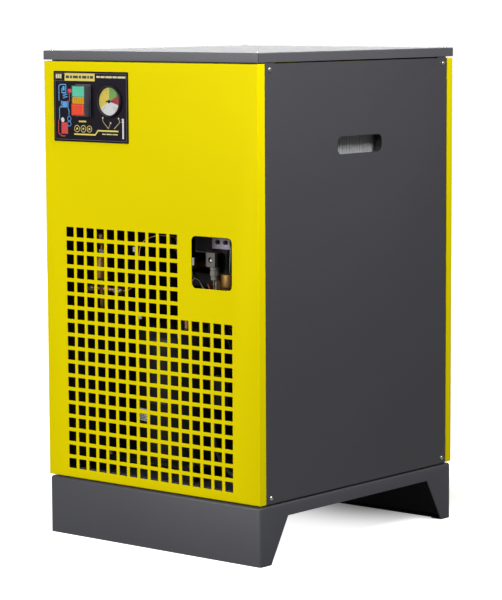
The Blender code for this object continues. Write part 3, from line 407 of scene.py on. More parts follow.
def spread(tree, factor, low, high):
    # a factor round one half becomes a value from low to high
    node = tree.nodes.new("ShaderNodeMapRange")
    node.inputs["From Min"].default_value = 0.25
    node.inputs["From Max"].default_value = 0.75
    for label, value in (("To Min", low), ("To Max", high)):
        if isinstance(value, (int, float)):
            node.inputs[label].default_value = value
        else:
            tree.links.new(value, node.inputs[label])
    tree.links.new(factor, node.inputs["Value"])
    return node.outputs["Result"]


def tinted(tree, colour, amount):
    # a colour with its brightness multiplied by an amount
    node = tree.nodes.new("ShaderNodeHueSaturation")
    tree.links.new(colour, node.inputs["Color"])
    tree.links.new(amount, node.inputs["Value"])
    return node.outputs["Color"]


def mixColour(tree, factor, first, second):
    node = tree.nodes.new("ShaderNodeMix")
    node.data_type = "RGBA"
    for socket, value in ((node.inputs[0], factor), (node.inputs[6], first), (node.inputs[7], second)):
        if isinstance(value, (int, float, tuple)):
            socket.default_value = value
        else:
            tree.links.new(value, socket)
    return node.outputs[2]


colourOut = ("Color", "NodeSocketColor")
roughOut = ("Roughness", "NodeSocketFloat")
heightOut = ("Height", "NodeSocketFloat")


def makeSkinGroup():
    # paint or plastic: broad tint drift, mottled gloss and a fine grain
    group, entry, leave = startGroup(
        "grainedSkin",
        (
            ("Color", "NodeSocketColor", (0.5, 0.5, 0.5, 1.0)),
            ("Roughness", "NodeSocketFloat", 0.45),
            ("Tint Drift", "NodeSocketFloat", 0.03),
            ("Gloss Drift", "NodeSocketFloat", 0.05),
            ("Grain Scale", "NodeSocketFloat", 600.0),
        ),
        (colourOut, roughOut, heightOut),
    )
    place = group.nodes.new("ShaderNodeTexCoord").outputs["Object"]
    broad = noiseNode(group, place, 4.0, 3.0)
    fine = noiseNode(group, place, entry.outputs["Grain Scale"], 2.0, 0.6)
    middle = noiseNode(group, place, 38.0, 3.0, 0.6)
    low = mathNode(group, "SUBTRACT", 1.0, entry.outputs["Tint Drift"])
    high = mathNode(group, "ADD", 1.0, entry.outputs["Tint Drift"])
    drift = spread(group, broad, low, high)
    group.links.new(tinted(group, entry.outputs["Color"], drift), leave.inputs["Color"])
    least = mathNode(group, "SUBTRACT", entry.outputs["Roughness"], entry.outputs["Gloss Drift"])
    most = mathNode(group, "ADD", entry.outputs["Roughness"], entry.outputs["Gloss Drift"])
    group.links.new(spread(group, middle, least, most), leave.inputs["Roughness"])
    group.links.new(fine, leave.inputs["Height"])
    return group


def makeDustGroup():
    # dust that lies on what faces up, thicker in blotches
    group, entry, leave = startGroup(
        "settledDust",
        (
            ("Color", "NodeSocketColor", (0.5, 0.5, 0.5, 1.0)),
            ("Roughness", "NodeSocketFloat", 0.5),
            ("Amount", "NodeSocketFloat", 0.3),
            ("Dust Color", "NodeSocketColor", (0.36, 0.34, 0.31, 1.0)),
        ),
        (colourOut, roughOut, ("Mask", "NodeSocketFloat")),
    )
    place = group.nodes.new("ShaderNodeTexCoord").outputs["Object"]
    facing = group.nodes.new("ShaderNodeNewGeometry").outputs["Normal"]
    split = group.nodes.new("ShaderNodeSeparateXYZ")
    group.links.new(facing, split.inputs["Vector"])
    upward = mathNode(group, "MAXIMUM", split.outputs["Z"], 0.04)
    blotch = spread(group, noiseNode(group, place, 9.0, 5.0, 0.65), 0.35, 1.0)
    speck = spread(group, noiseNode(group, place, 420.0, 2.0, 0.7), 0.4, 1.0)
    mask = mathNode(group, "MULTIPLY", mathNode(group, "MULTIPLY", upward, blotch), speck)
    mask = mathNode(group, "MULTIPLY", mask, entry.outputs["Amount"])
    blend = mixColour(group, mask, entry.outputs["Color"], entry.outputs["Dust Color"])
    group.links.new(blend, leave.inputs["Color"])
    rougher = mathNode(group, "MULTIPLY_ADD", mask, 0.4, entry.outputs["Roughness"])
    group.links.new(rougher, leave.inputs["Roughness"])
    group.links.new(mask, leave.inputs["Mask"])
    return group


def makeMetalGroup():
    # bare metal: streaks along one way, spots of oxide and a scratched gloss
    group, entry, leave = startGroup(
        "bareMetal",
        (
            ("Color", "NodeSocketColor", (0.6, 0.6, 0.6, 1.0)),
            ("Oxide Color", "NodeSocketColor", (0.3, 0.3, 0.3, 1.0)),
            ("Oxide", "NodeSocketFloat", 0.25),
            ("Roughness", "NodeSocketFloat", 0.35),
            ("Streaks", "NodeSocketVector", (1.0, 1.0, 1.0)),
            ("Scale", "NodeSocketFloat", 120.0),
        ),
        (colourOut, roughOut, heightOut),
    )
    place = group.nodes.new("ShaderNodeTexCoord").outputs["Object"]
    stretch = group.nodes.new("ShaderNodeVectorMath")
    stretch.operation = "MULTIPLY"
    group.links.new(place, stretch.inputs[0])
    group.links.new(entry.outputs["Streaks"], stretch.inputs[1])
    streak = noiseNode(group, stretch.outputs["Vector"], entry.outputs["Scale"], 4.0, 0.65)
    cloud = noiseNode(group, place, 26.0, 5.0, 0.65)
    oxide = mathNode(group, "MULTIPLY", spread(group, cloud, 0.0, 1.0), entry.outputs["Oxide"])
    mixed = mixColour(group, oxide, entry.outputs["Color"], entry.outputs["Oxide Color"])
    shade = spread(group, streak, 0.90, 1.08)
    group.links.new(tinted(group, mixed, shade), leave.inputs["Color"])
    least = mathNode(group, "SUBTRACT", entry.outputs["Roughness"], 0.08)
    most = mathNode(group, "ADD", entry.outputs["Roughness"], 0.12)
    group.links.new(spread(group, streak, least, most), leave.inputs["Roughness"])
    group.links.new(streak, leave.inputs["Height"])
    return group


def makeCellGroup():
    # cells: foam pores when small, zinc spangle when large
    group, entry, leave = startGroup(
        "cellSurface",
        (
            ("Color", "NodeSocketColor", (0.5, 0.5, 0.5, 1.0)),
            ("Roughness", "NodeSocketFloat", 0.5),
            ("Cell Scale", "NodeSocketFloat", 300.0),
            ("Contrast", "NodeSocketFloat", 0.2),
        ),
        (colourOut, roughOut, heightOut),
    )
    place = group.nodes.new("ShaderNodeTexCoord").outputs["Object"]
    cells = group.nodes.new("ShaderNodeTexVoronoi")
    group.links.new(place, cells.inputs["Vector"])
    group.links.new(entry.outputs["Cell Scale"], cells.inputs["Scale"])
    grey = group.nodes.new("ShaderNodeRGBToBW")
    group.links.new(cells.outputs["Color"], grey.inputs["Color"])
    low = mathNode(group, "SUBTRACT", 1.0, entry.outputs["Contrast"])
    high = mathNode(group, "ADD", 1.0, entry.outputs["Contrast"])
    shade = spread(group, grey.outputs["Val"], low, high)
    group.links.new(tinted(group, entry.outputs["Color"], shade), leave.inputs["Color"])
    least = mathNode(group, "SUBTRACT", entry.outputs["Roughness"], 0.08)
    most = mathNode(group, "ADD", entry.outputs["Roughness"], 0.08)
    group.links.new(spread(group, grey.outputs["Val"], least, most), leave.inputs["Roughness"])
    group.links.new(cells.outputs["Distance"], leave.inputs["Height"])
    return group


skinGroup = makeSkinGroup()
dustGroup = makeDustGroup()
metalGroup = makeMetalGroup()
cellGroup = makeCellGroup()
print("shader groups made")

# materials


def startMaterial(name):
    material = bpy.data.materials.new(name)
    material.use_nodes = True
    return material, material.node_tree, material.node_tree.nodes["Principled BSDF"]


def placeGroup(tree, group, values, links=()):
    node = tree.nodes.new("ShaderNodeGroup")
    node.node_tree = group
    for label, value in values.items():
        node.inputs[label].default_value = value
    for source, label in links:
        tree.links.new(source, node.inputs[label])
    return node


def bumpFrom(tree, shader, height, strength, distance):
    bump = tree.nodes.new("ShaderNodeBump")
    bump.inputs["Strength"].default_value = strength
    bump.inputs["Distance"].default_value = distance
    tree.links.new(height, bump.inputs["Height"])
    tree.links.new(bump.outputs["Normal"], shader.inputs["Normal"])


def coated(name, colour, roughness, tint=0.03, gloss=0.05, grain=600.0, bump=0.15, dust=0.0, coat=0.0,
           specular=0.5):
    # paint and plastic, with settled dust where asked
    material, tree, shader = startMaterial(name)
    skin = placeGroup(
        tree,
        skinGroup,
        {"Color": (*colour, 1.0), "Roughness": roughness, "Tint Drift": tint, "Gloss Drift": gloss,
         "Grain Scale": grain},
    )
    last = skin
    if dust:
        last = placeGroup(
            tree,
            dustGroup,
            {"Amount": dust},
            ((skin.outputs["Color"], "Color"), (skin.outputs["Roughness"], "Roughness")),
        )
    tree.links.new(last.outputs["Color"], shader.inputs["Base Color"])
    tree.links.new(last.outputs["Roughness"], shader.inputs["Roughness"])
    shader.inputs["Coat Weight"].default_value = coat
    shader.inputs["Coat Roughness"].default_value = 0.12
    shader.inputs["Specular IOR Level"].default_value = specular
    bumpFrom(tree, shader, skin.outputs["Height"], bump, 0.0002)
    return material


def bare(name, colour, oxide, oxideAmount, roughness, streaks=(1, 1, 1), scale=120.0, bump=0.12, dust=0.0):
    # metal with no paint on it
    material, tree, shader = startMaterial(name)
    metal = placeGroup(
        tree,
        metalGroup,
        {"Color": (*colour, 1.0), "Oxide Color": (*oxide, 1.0), "Oxide": oxideAmount,
         "Roughness": roughness, "Streaks": streaks, "Scale": scale},
    )
    last = metal
    if dust:
        last = placeGroup(
            tree,
            dustGroup,
            {"Amount": dust},
            ((metal.outputs["Color"], "Color"), (metal.outputs["Roughness"], "Roughness")),
        )
    tree.links.new(last.outputs["Color"], shader.inputs["Base Color"])
    tree.links.new(last.outputs["Roughness"], shader.inputs["Roughness"])
    shader.inputs["Metallic"].default_value = 1.0
    bumpFrom(tree, shader, metal.outputs["Height"], bump, 0.0002)
    return material


def celled(name, colour, roughness, scale, contrast, metallic, bump, depth):
    # foam or spangled zinc
    material, tree, shader = startMaterial(name)
    cells = placeGroup(
        tree,
        cellGroup,
        {"Color": (*colour, 1.0), "Roughness": roughness, "Cell Scale": scale, "Contrast": contrast},
    )
    tree.links.new(cells.outputs["Color"], shader.inputs["Base Color"])
    tree.links.new(cells.outputs["Roughness"], shader.inputs["Roughness"])
    shader.inputs["Metallic"].default_value = metallic
    bumpFrom(tree, shader, cells.outputs["Height"], bump, depth)
    return material


yellowPaint = coated("yellowPaint", (0.84, 0.70, 0.0), 0.48, tint=0.015, gloss=0.04, grain=650.0, bump=0.10,
                     specular=0.02)
darkPaint = coated("darkPaint", (0.062, 0.062, 0.071), 0.40, tint=0.04, gloss=0.05, grain=900.0, bump=0.22,
                   dust=0.04, specular=0.45)
# a lighter copy of the dark paint for the lid: painted light, for the stronger light near the top
lidPaintLitCopy = coated("lidPaintLitCopy", (0.092, 0.092, 0.104), 0.40, tint=0.04, gloss=0.05, grain=900.0, bump=0.22,
                  dust=0.04, specular=0.45)
# a lighter copy of the dark paint for the base, tuned to how the base is lit: painted light
basePaintLitCopy = coated("basePaintLitCopy", (0.075, 0.076, 0.088), 0.42, tint=0.04, gloss=0.05, grain=900.0, bump=0.22,
                   dust=0.04, specular=0.40)
blackPaint = coated("blackPaint", (0.012, 0.012, 0.013), 0.35, tint=0.15, gloss=0.08, grain=350.0, bump=0.2,
                    dust=0.15, specular=0.35)
blackPlastic = coated("blackPlastic", (0.012, 0.012, 0.013), 0.42, tint=0.08, grain=1200.0, bump=0.25,
                      specular=0.3)
coilPlastic = coated(
    "coilPlastic", (0.006, 0.006, 0.005), 0.5, tint=0.08, grain=1200.0, bump=0.2, specular=0.2
)
greyPlastic = coated("greyPlastic", (0.13, 0.122, 0.108), 0.5, tint=0.06, grain=1500.0, bump=0.3)
glandPlastic = coated("glandPlastic", (0.27, 0.25, 0.22), 0.42, tint=0.05, grain=1200.0, bump=0.2)
timerPlastic = coated("timerPlastic", (0.46, 0.40, 0.50), 0.42, tint=0.05, grain=1500.0, bump=0.3)
rubberBlack = coated("rubberBlack", (0.018, 0.018, 0.018), 0.75, tint=0.15, grain=500.0, bump=0.3, dust=0.2)
leadCream = coated("leadCream", (0.72, 0.62, 0.50), 0.5, tint=0.05, grain=700.0, bump=0.2)
leadTan = coated("leadTan", (0.40, 0.27, 0.15), 0.5, tint=0.05, grain=700.0, bump=0.2)
leadGrey = coated("leadGrey", (0.40, 0.42, 0.50), 0.5, tint=0.05, grain=700.0, bump=0.2)
wireRed = coated("wireRed", (0.34, 0.07, 0.03), 0.45, tint=0.06, grain=900.0, bump=0.2)
labelFilm = coated("labelFilm", (0.010, 0.007, 0.014), 0.38, tint=0.06, grain=500.0, bump=0.05, specular=0.10)
switchPlastic = coated("switchPlastic", (0.075, 0.072, 0.088), 0.38, tint=0.06, grain=1200.0, bump=0.2)
greenPlastic = coated("greenPlastic", (0.10, 0.60, 0.38), 0.34, tint=0.03, grain=900.0, bump=0.08,
                      specular=0.3)
redPlastic = coated("redPlastic", (0.84, 0.065, 0.02), 0.34, tint=0.03, grain=900.0, bump=0.08, specular=0.3)
amberLens = coated("amberLens", (0.74, 0.38, 0.006), 0.2, tint=0.04, grain=400.0, bump=0.1, coat=0.3)
whiteCard = coated("whiteCard", (0.80, 0.82, 0.80), 0.55, tint=0.02, grain=800.0, bump=0.05)
leverGrip = coated("leverGrip", (0.55, 0.04, 0.03), 0.38, tint=0.05, grain=700.0, bump=0.15)
printYellow = coated("printYellow", (0.80, 0.66, 0.12), 0.42, tint=0.04, grain=700.0, bump=0.05)
printCream = coated("printCream", (0.70, 0.62, 0.36), 0.42, tint=0.03, grain=700.0, bump=0.05)
printWhite = coated("printWhite", (0.72, 0.71, 0.74), 0.42, tint=0.03, grain=700.0, bump=0.05)
printGrey = coated("printGrey", (0.20, 0.18, 0.16), 0.42, tint=0.05, grain=700.0, bump=0.05)
printBlue = coated("printBlue", (0.10, 0.36, 0.78), 0.42, tint=0.04, grain=700.0, bump=0.05)
printRed = coated("printRed", (0.68, 0.045, 0.05), 0.42, tint=0.04, grain=700.0, bump=0.05)
printDark = coated("printDark", (0.03, 0.03, 0.03), 0.45, tint=0.06, grain=700.0, bump=0.05)
dialYellow = coated("dialYellow", (0.84, 0.66, 0.08), 0.5, tint=0.03, grain=700.0, bump=0.04)
dialGreen = coated("dialGreen", (0.20, 0.46, 0.09), 0.5, tint=0.03, grain=700.0, bump=0.04)
dialRed = coated("dialRed", (0.50, 0.03, 0.045), 0.5, tint=0.03, grain=700.0, bump=0.04)
zincSteel = bare("zincSteel", (0.86, 0.86, 0.84), (0.55, 0.52, 0.45), 0.20, 0.24, scale=400.0)
castBrass = bare("castBrass", (0.30, 0.175, 0.060), (0.13, 0.05, 0.012), 0.5, 0.50, scale=160.0, bump=0.25)
copperTube = bare("copperTube", (0.80, 0.42, 0.27), (0.32, 0.14, 0.08), 0.4, 0.34, scale=90.0, bump=0.15)
finAluminium = bare("finAluminium", (0.62, 0.63, 0.65), (0.38, 0.38, 0.38), 0.3, 0.40, (1, 1, 0.05), 300.0)
fanAluminium = bare("fanAluminium", (0.66, 0.67, 0.68), (0.40, 0.40, 0.39), 0.25, 0.34, (1, 0.3, 1), 140.0)
plateSteel = coated("plateSteel", (0.50, 0.50, 0.52), 0.55, tint=0.10, gloss=0.10, grain=240.0, bump=0.5)
galvanisedSteel = celled("galvanisedSteel", (0.50, 0.52, 0.53), 0.45, 85.0, 0.12, 0.9, 0.05, 0.0002)
# galvanised spangle darkened nearly to black: painted shade for the shelf deep in the dark cabinet
standSteelPaintedShade = celled("standSteelPaintedShade", (0.07, 0.07, 0.072), 0.5, 85.0, 0.2, 0.6, 0.05, 0.0002)
blackFoam = celled("blackFoam", (0.012, 0.012, 0.013), 0.95, 900.0, 0.4, 0.0, 0.6, 0.0006)


def makeLensMaterial():
    # clear lens: nearly see-through, with more reflection at its rim
    material, tree, shader = startMaterial("clearLens")
    skin = placeGroup(tree, skinGroup, {"Color": (0.02, 0.02, 0.02, 1.0), "Roughness": 0.05,
                                        "Gloss Drift": 0.02, "Grain Scale": 60.0})
    tree.links.new(skin.outputs["Color"], shader.inputs["Base Color"])
    tree.links.new(skin.outputs["Roughness"], shader.inputs["Roughness"])
    facing = tree.nodes.new("ShaderNodeFresnel")
    facing.inputs["IOR"].default_value = 1.45
    tree.links.new(mathNode(tree, "MULTIPLY_ADD", facing.outputs["Fac"], 0.22, 0.004), shader.inputs["Alpha"])
    material.surface_render_method = "BLENDED"
    return material


clearLens = makeLensMaterial()
print("materials made:", len(bpy.data.materials))

# cabinet


refined("frontPanelSheet", "front_panel", yellowPaint, 0.0005, 3, 30)
refined("rearPanelSheet", "rear_panel", yellowPaint, 0.0004, 2, 30)
refined("rightPanelSheet", "right_side_panel", darkPaint, 0.0004, 2, 30)
refined("leftPanelSheet", "left_side_panel", darkPaint, 0.0004, 2, 30)
refined("lidSheet", "top_cover", lidPaintLitCopy, 0.0003, 2, 30)
refined("baseSheet", "base_frame", basePaintLitCopy, 0.0008, 3, 30)
refined("frontInnerFrame", "front_frame", darkPaint, 0.0002, 1)
refined("rearInnerFrame", "rear_frame", darkPaint, 0.0002, 1)
refined("rightFoam", "right_foam_liner", blackFoam, 0.0003, 1)
refined("leftFoam", "left_foam_liner", blackFoam, 0.0003, 1)

panHead = {
    "sideHead": 0.0045,
    "sideRise": 0.0020,
    "lidHead": 0.0042,
    "lidRise": 0.0018,
    "shank": 0.0022,
    "length": 0.009,
    "well": 0.56,
    "recessDepth": 0.0011,
    "recessWidth": 0.0009,
    "sideFace": 0.2778,
    "sideY": 0.278,
    "sideZ": (0.1295, 0.9433),
    "lidX": 0.2655,
    "lidY": 0.3005,
    "lidFace": 0.9753,
}


def recessSegments(bm, base, axis, radius, height, parts):
    # equal pieces of a disc, with straight gaps between them that form the driver's recess
    place = alongAxis(base, axis)
    gap = panHead["recessWidth"] / 2
    away = math.asin(gap / radius)
    for part in range(parts):
        start = math.tau * part / parts
        end = math.tau * (part + 1) / parts
        inner = (start + end) / 2
        reach = gap / math.sin(math.pi / parts) if parts > 2 else gap
        outline = [(reach * math.cos(inner), reach * math.sin(inner))]
        if parts == 2:
            outline = []
        for step in range(7):
            turn = start + away + (end - start - 2 * away) * step / 6
            outline.append((radius * math.cos(turn), radius * math.sin(turn)))
        addPlate(bm, outline, place @ Matrix.Translation((0, 0, height)), panHead["recessDepth"] - 2 * hair)


def makeScrew(name, nodeName, base, axis, head, rise):
    # domed head with a cross recess, on a plain shank
    well = head * panHead["well"]
    floor = rise - panHead["recessDepth"]
    profile = [(0, floor), (well, floor), (well, rise * 0.97)]
    for share, height in ((0.70, 0.93), (0.84, 0.78), (0.94, 0.52), (1.0, 0.16), (1.0, 0.0)):
        profile.append((head * share, rise * height))
    profile += [(panHead["shank"], 0), (panHead["shank"], -panHead["length"]), (0, -panHead["length"])]
    bm = bmesh.new()
    addTurned(bm, profile, base, axis, 32)
    recessSegments(bm, base, axis, well - 0.00005, floor + hair, 4)
    standFor(linkMesh(name, bm, zincSteel), nodeName)


def makeScrews():
    for sideName, side in (("right", 1), ("left", -1)):
        number = 0
        for z in panHead["sideZ"]:
            for end in (-1, 1):
                number += 1
                base = (side * panHead["sideFace"], end * panHead["sideY"], z)
                nodeName = f"{sideName}_side_screw_{number}"
                makeScrew(f"{sideName}PanHead{number}", nodeName, base, right * side, panHead["sideHead"],
                          panHead["sideRise"])
    number = 0
    for side in (-1, 1):
        for end in (-1, 1):
            number += 1
            base = (side * panHead["lidX"], end * panHead["lidY"], panHead["lidFace"])
            makeScrew(f"lidPanHead{number}", f"top_screw_{number}", base, up, panHead["lidHead"],
                      panHead["lidRise"])


makeScrews()

sill = {
    "halfX": 0.2762,
    "thickness": 0.012,
    "z": (0.1164, 0.1205),
    "halfY": 0.288,
}


def makeSills():
    # sealing strips between the base and the foot of each side panel
    for name, side in (("rightSill", 1), ("leftSill", -1)):
        bm = bmesh.new()
        outer = side * sill["halfX"]
        inner = side * (sill["halfX"] - sill["thickness"])
        low = (min(outer, inner), -sill["halfY"], sill["z"][0])
        high = (max(outer, inner), sill["halfY"], sill["z"][1])
        addBlock(bm, low, high)
        softEdges(linkMesh(name, bm, rubberBlack), 0.0008)


makeSills()
print("cabinet made")

# control label, switch and gauge

label = {
    "left": -0.249,
    "top": 0.935,
    "face": -0.3140,
    "ink": 0.00014,
}


def labelSpot(u, v, lift=0.0):
    # millimetres across and down from the label's top left corner
    return Vector((label["left"] + u / 1000, label["face"] + hair / 2 - lift, label["top"] - v / 1000))


# stands a flat outline up, to be seen from the front
facingFront = Matrix(((1, 0, 0, 0), (0, 0, -1, 0), (0, 1, 0, 0), (0, 0, 0, 1)))


def printPlace(lift=0.0):
    corner = labelSpot(0, 0, lift)
    return Matrix.Translation(corner) @ facingFront


def inkBox(bm, u0, v0, u1, v1, lift=0.0):
    outline = [
        (u0 / 1000, -v1 / 1000), (u1 / 1000, -v1 / 1000), (u1 / 1000, -v0 / 1000), (u0 / 1000, -v0 / 1000)
    ]
    addPlate(bm, outline, printPlace(lift), label["ink"])


def inkDisc(bm, u, v, radius, lift=0.0):
    outline = [(x / 1000, y / 1000) for x, y in arcPoints((u, -v), radius, 0, 350, 35)]
    addPlate(bm, outline, printPlace(lift), label["ink"])


def inkStrip(bm, points, width, lift=0.0):
    # a band of even width along its points, with mitred corners
    spots = [Vector((u / 1000, -v / 1000)) for u, v in points]
    leftSide = []
    rightSide = []
    for index, spot in enumerate(spots):
        before = (spot - spots[index - 1]).normalized() if index else None
        after = (spots[index + 1] - spot).normalized() if index + 1 < len(spots) else None
        way = before if after is None else after if before is None else (before + after).normalized()
        across = Vector((-way.y, way.x))
        flank = across if before is None else Vector((-before.y, before.x))
        reach = width / 2000 / max(across.dot(flank), 0.35)
        leftSide.append(spot + across * reach)
        rightSide.append(spot - across * reach)
    place = printPlace(lift)
    for index in range(len(spots) - 1):
        outline = [leftSide[index], rightSide[index], rightSide[index + 1], leftSide[index + 1]]
        addPlate(bm, [(point.x, point.y) for point in outline], place, label["ink"])


def inkRing(bm, u, v, radius, width):
    points = [(x, -y) for x, y in arcPoints((u, -v), radius, 0, 360, 36)]
    inkStrip(bm, points, width)


labelPrint = {
    "greyLines": (
        ((4, 4), (196, 4), (196, 135), (4, 135), (4, 3.7)),
        ((4, 19.5), (29, 19.5)),
    ),
    "creamBars": (
        (6.5, 6.0, 11.0, 14.5), (12.0, 6.0, 16.5, 14.5), (17.5, 6.0, 22.0, 14.5),
        (117, 8.5, 126, 12.3), (128, 8.5, 139, 12.3), (141, 8.5, 158, 12.3), (160, 8.5, 171, 12.3),
        (173, 8.5, 194, 12.3), (131, 121, 140, 123.2), (142, 121, 156, 123.2), (158, 121, 172, 123.2),
    ),
    "darkBars": (
        (34, 8.6, 43, 14.0), (45.5, 8.6, 51, 14.0), (53.5, 8.6, 67, 14.0), (69.5, 8.6, 76, 14.0),
        (78.5, 8.6, 90, 14.0), (92.5, 8.6, 97, 14.0), (99.5, 8.6, 108, 14.0),
    ),
    "whiteBars": ((184.5, 90.6, 188.6, 130), (181.8, 92, 183.6, 93.2), (181.8, 97, 183.6, 98.2)),
    "yellowBars": ((30.5, 3.4, 112, 19), (68, 97, 88, 100)),
    "yellowRings": ((62.9, 113, 6.6), (80.1, 113, 6.6), (96.4, 113, 6.2)),
    "yellowStep": ((55, 124), (112, 124), (119.5, 115.6), (174, 115.6)),
    "leaders": (
        ((132.9, 90), (132.9, 97), (147.2, 111)),
        ((153.7, 99.8), (147.2, 111)),
        ((174.9, 90.6), (178, 98), (162.7, 111)),
    ),
    "leaderDots": ((132.9, 90), (153.7, 99.8), (174.9, 90.6)),
    "blueLines": (
        ((14.4, 59), (14.4, 29.5), (19, 26.5), (33.5, 26.5), (33.5, 42.5), (22.5, 42.5), (22.5, 34)),
        ((25.5, 45), (37.0, 45.6), (25.5, 49.0), (37.0, 50.6), (25.5, 53.6)),
        ((15.4, 73), (15.4, 96)),
        ((15.4, 73), (23, 66)),
        ((38.5, 72), (41.5, 78), (41.5, 88)),
    ),
    "blueBars": ((24.5, 30, 30, 38.5), (24.0, 60, 36.5, 72), (20.2, 58.5, 22.8, 73), (37.6, 58.5, 40.2, 73)),
    "blueRings": ((42.0, 94.0, 4.6), (42.0, 104.0, 4.6)),
    "redLines": (
        ((43, 41), (43, 60)),
        ((12.5, 97), (12.5, 123), (21.5, 128.5), (31, 128.5)),
    ),
    "redBars": ((38.8, 35, 50, 42.5), (20.4, 101.5, 38.0, 124)),
    "whiteDisc": (24, 96.5, 4.6),
}


def printPiece(name, bm, material):
    # the edges of the ink are sharp, so that its face stays flat
    return linkMesh(name, bm, material, smoothAngle=1)


def makeLabel():
    refined("labelSheet", "control_label", labelFilm, 0.0002, 2)
    bm = bmesh.new()
    for line in labelPrint["greyLines"]:
        inkStrip(bm, line, 0.5)
    printPiece("labelGreyPrint", bm, printGrey)
    bm = bmesh.new()
    for bar in labelPrint["creamBars"]:
        inkBox(bm, *bar)
    for line in labelPrint["leaders"]:
        inkStrip(bm, line, 0.9)
    for u, v in labelPrint["leaderDots"]:
        inkDisc(bm, u, v, 1.8, label["ink"])
    printPiece("labelCreamPrint", bm, printCream)
    bm = bmesh.new()
    for bar in labelPrint["whiteBars"]:
        inkBox(bm, *bar)
    inkDisc(bm, *labelPrint["whiteDisc"])
    printPiece("labelWhitePrint", bm, printWhite)
    bm = bmesh.new()
    for bar in labelPrint["darkBars"]:
        inkBox(bm, *bar, label["ink"])
    printPiece("labelDarkPrint", bm, printDark)
    bm = bmesh.new()
    for bar in labelPrint["yellowBars"]:
        inkBox(bm, *bar)
    for u, v, radius in labelPrint["yellowRings"]:
        inkRing(bm, u, v, radius, 1.2)
        inkDisc(bm, u, v, 2.2)
    inkStrip(bm, labelPrint["yellowStep"], 3.0)
    printPiece("labelYellowPrint", bm, printYellow)
    bm = bmesh.new()
    for line in labelPrint["blueLines"]:
        inkStrip(bm, line, 1.9)
    for bar in labelPrint["blueBars"]:
        inkBox(bm, *bar)
    for u, v, radius in labelPrint["blueRings"]:
        inkRing(bm, u, v, radius, 1.5)
    printPiece("labelBluePrint", bm, printBlue)
    bm = bmesh.new()
    for line in labelPrint["redLines"]:
        inkStrip(bm, line, 1.9)
    for bar in labelPrint["redBars"]:
        inkBox(bm, *bar)
    printPiece("labelRedPrint", bm, printRed)


makeLabel()

switch = {
    "x": -0.1671,
    "half": 0.0175,
    "z": (0.848, 0.9075),
    "lampZ": (0.8713, 0.8852),
    "front": -0.3305,
    "pocketFloor": -0.3145,
    "flangeReach": 0.0024,
    "flangeBack": -0.3141,
    "flangeFront": -0.3166,
    "capGap": 0.0015,
    "dish": 0.0009,
    "stopFront": -0.3330,
    "capDepth": 0.012,
    "lampRibs": 5,
}


def addFrameRing(bm, low, high, wall):
    # four walls round an opening that runs along Y
    addBlock(bm, low, (low[0] + wall, high[1], high[2]))
    addBlock(bm, (high[0] - wall, low[1], low[2]), high)
    addBlock(bm, (low[0] + wall - hair, low[1], low[2]), (high[0] - wall + hair, high[1], low[2] + wall))
    addBlock(bm, (low[0] + wall - hair, low[1], high[2] - wall), (high[0] - wall + hair, high[1], high[2]))


def makeSwitchHousing():
    refined("switchHousing", "switch_body", switchPlastic, 0.0003, 2)
    low = switch["x"] - switch["half"]
    high = switch["x"] + switch["half"]
    reach = switch["flangeReach"]
    bm = bmesh.new()
    addFrameRing(
        bm,
        (low - reach, switch["flangeFront"], switch["z"][0] - reach),
        (high + reach, switch["flangeBack"], switch["z"][1] + reach),
        reach - hair,
    )
    softEdges(linkMesh("switchFlange", bm, switchPlastic), 0.0006, 2)


def addCap(bm, low, high, face, back, dish):
    # a square cap with eased corners and a slightly dished face
    columns = 12
    rows = 12
    grid = []
    for row in range(rows + 1):
        line = []
        for column in range(columns + 1):
            u = column / columns
            v = row / rows
            rim = min(u, 1 - u, v, 1 - v) * 10
            bowl = dish * min(rim, 1) * (1 - ((u - 0.5) ** 2 + (v - 0.5) ** 2) * 1.6)
            edge = 0.0007 * max(0, 1 - rim / 0.9) ** 2
            x = low[0] + (high[0] - low[0]) * u
            z = low[1] + (high[1] - low[1]) * v
            line.append(bm.verts.new((x, face + max(bowl, 0) + edge, z)))
        grid.append(line)
    for row in range(rows):
        for column in range(columns):
            corners = (
                grid[row][column], grid[row][column + 1], grid[row + 1][column + 1], grid[row + 1][column]
            )
            bm.faces.new(corners)
    rimEdges = [edge for edge in bm.edges if len(edge.link_faces) == 1]
    grown = bmesh.ops.extrude_edge_only(bm, edges=rimEdges)["geom"]
    tail = [item for item in grown if isinstance(item, bmesh.types.BMVert)]
    for vert in tail:
        vert.co.y = back
    bmesh.ops.contextual_create(bm, geom=[edge for edge in bm.edges if len(edge.link_faces) == 1])


def makeSwitchCaps():
    gap = switch["capGap"]
    low = switch["x"] - switch["half"] + gap
    high = switch["x"] + switch["half"] - gap
    bm = bmesh.new()
    top = (switch["lampZ"][1] + 0.0006, switch["z"][1] - gap)
    addCap(
        bm,
        (low, top[0]),
        (high, top[1]),
        switch["front"],
        switch["front"] + switch["capDepth"],
        switch["dish"],
    )
    standFor(linkMesh("startCap", bm, greenPlastic, "start_button"), "start_button")
    bm = bmesh.new()
    foot = (switch["z"][0] + gap, switch["lampZ"][0] - 0.0006)
    stopBack = switch["stopFront"] + switch["capDepth"]
    addCap(bm, (low, foot[0]), (high, foot[1]), switch["stopFront"], stopBack, switch["dish"] * 0.5)
    standFor(linkMesh("stopCap", bm, redPlastic, "stop_button"), "stop_button")
    bm = bmesh.new()
    addBlock(bm, (low, switch["front"] + 0.0008, switch["lampZ"][0]),
             (high, switch["pocketFloor"] - 0.0003, switch["lampZ"][1]))
    count = switch["lampRibs"]
    pitch = (high - low) / count
    for number in range(count):
        left = low + pitch * number + 0.0006
        addBlock(bm, (left, switch["front"], switch["lampZ"][0] + 0.0008),
                 (left + pitch - 0.0012, switch["front"] + 0.0010, switch["lampZ"][1] - 0.0008))
    standFor(softEdges(linkMesh("pilotLens", bm, amberLens), 0.0004, 2), "pilot_lamp")


makeSwitchHousing()
makeSwitchCaps()

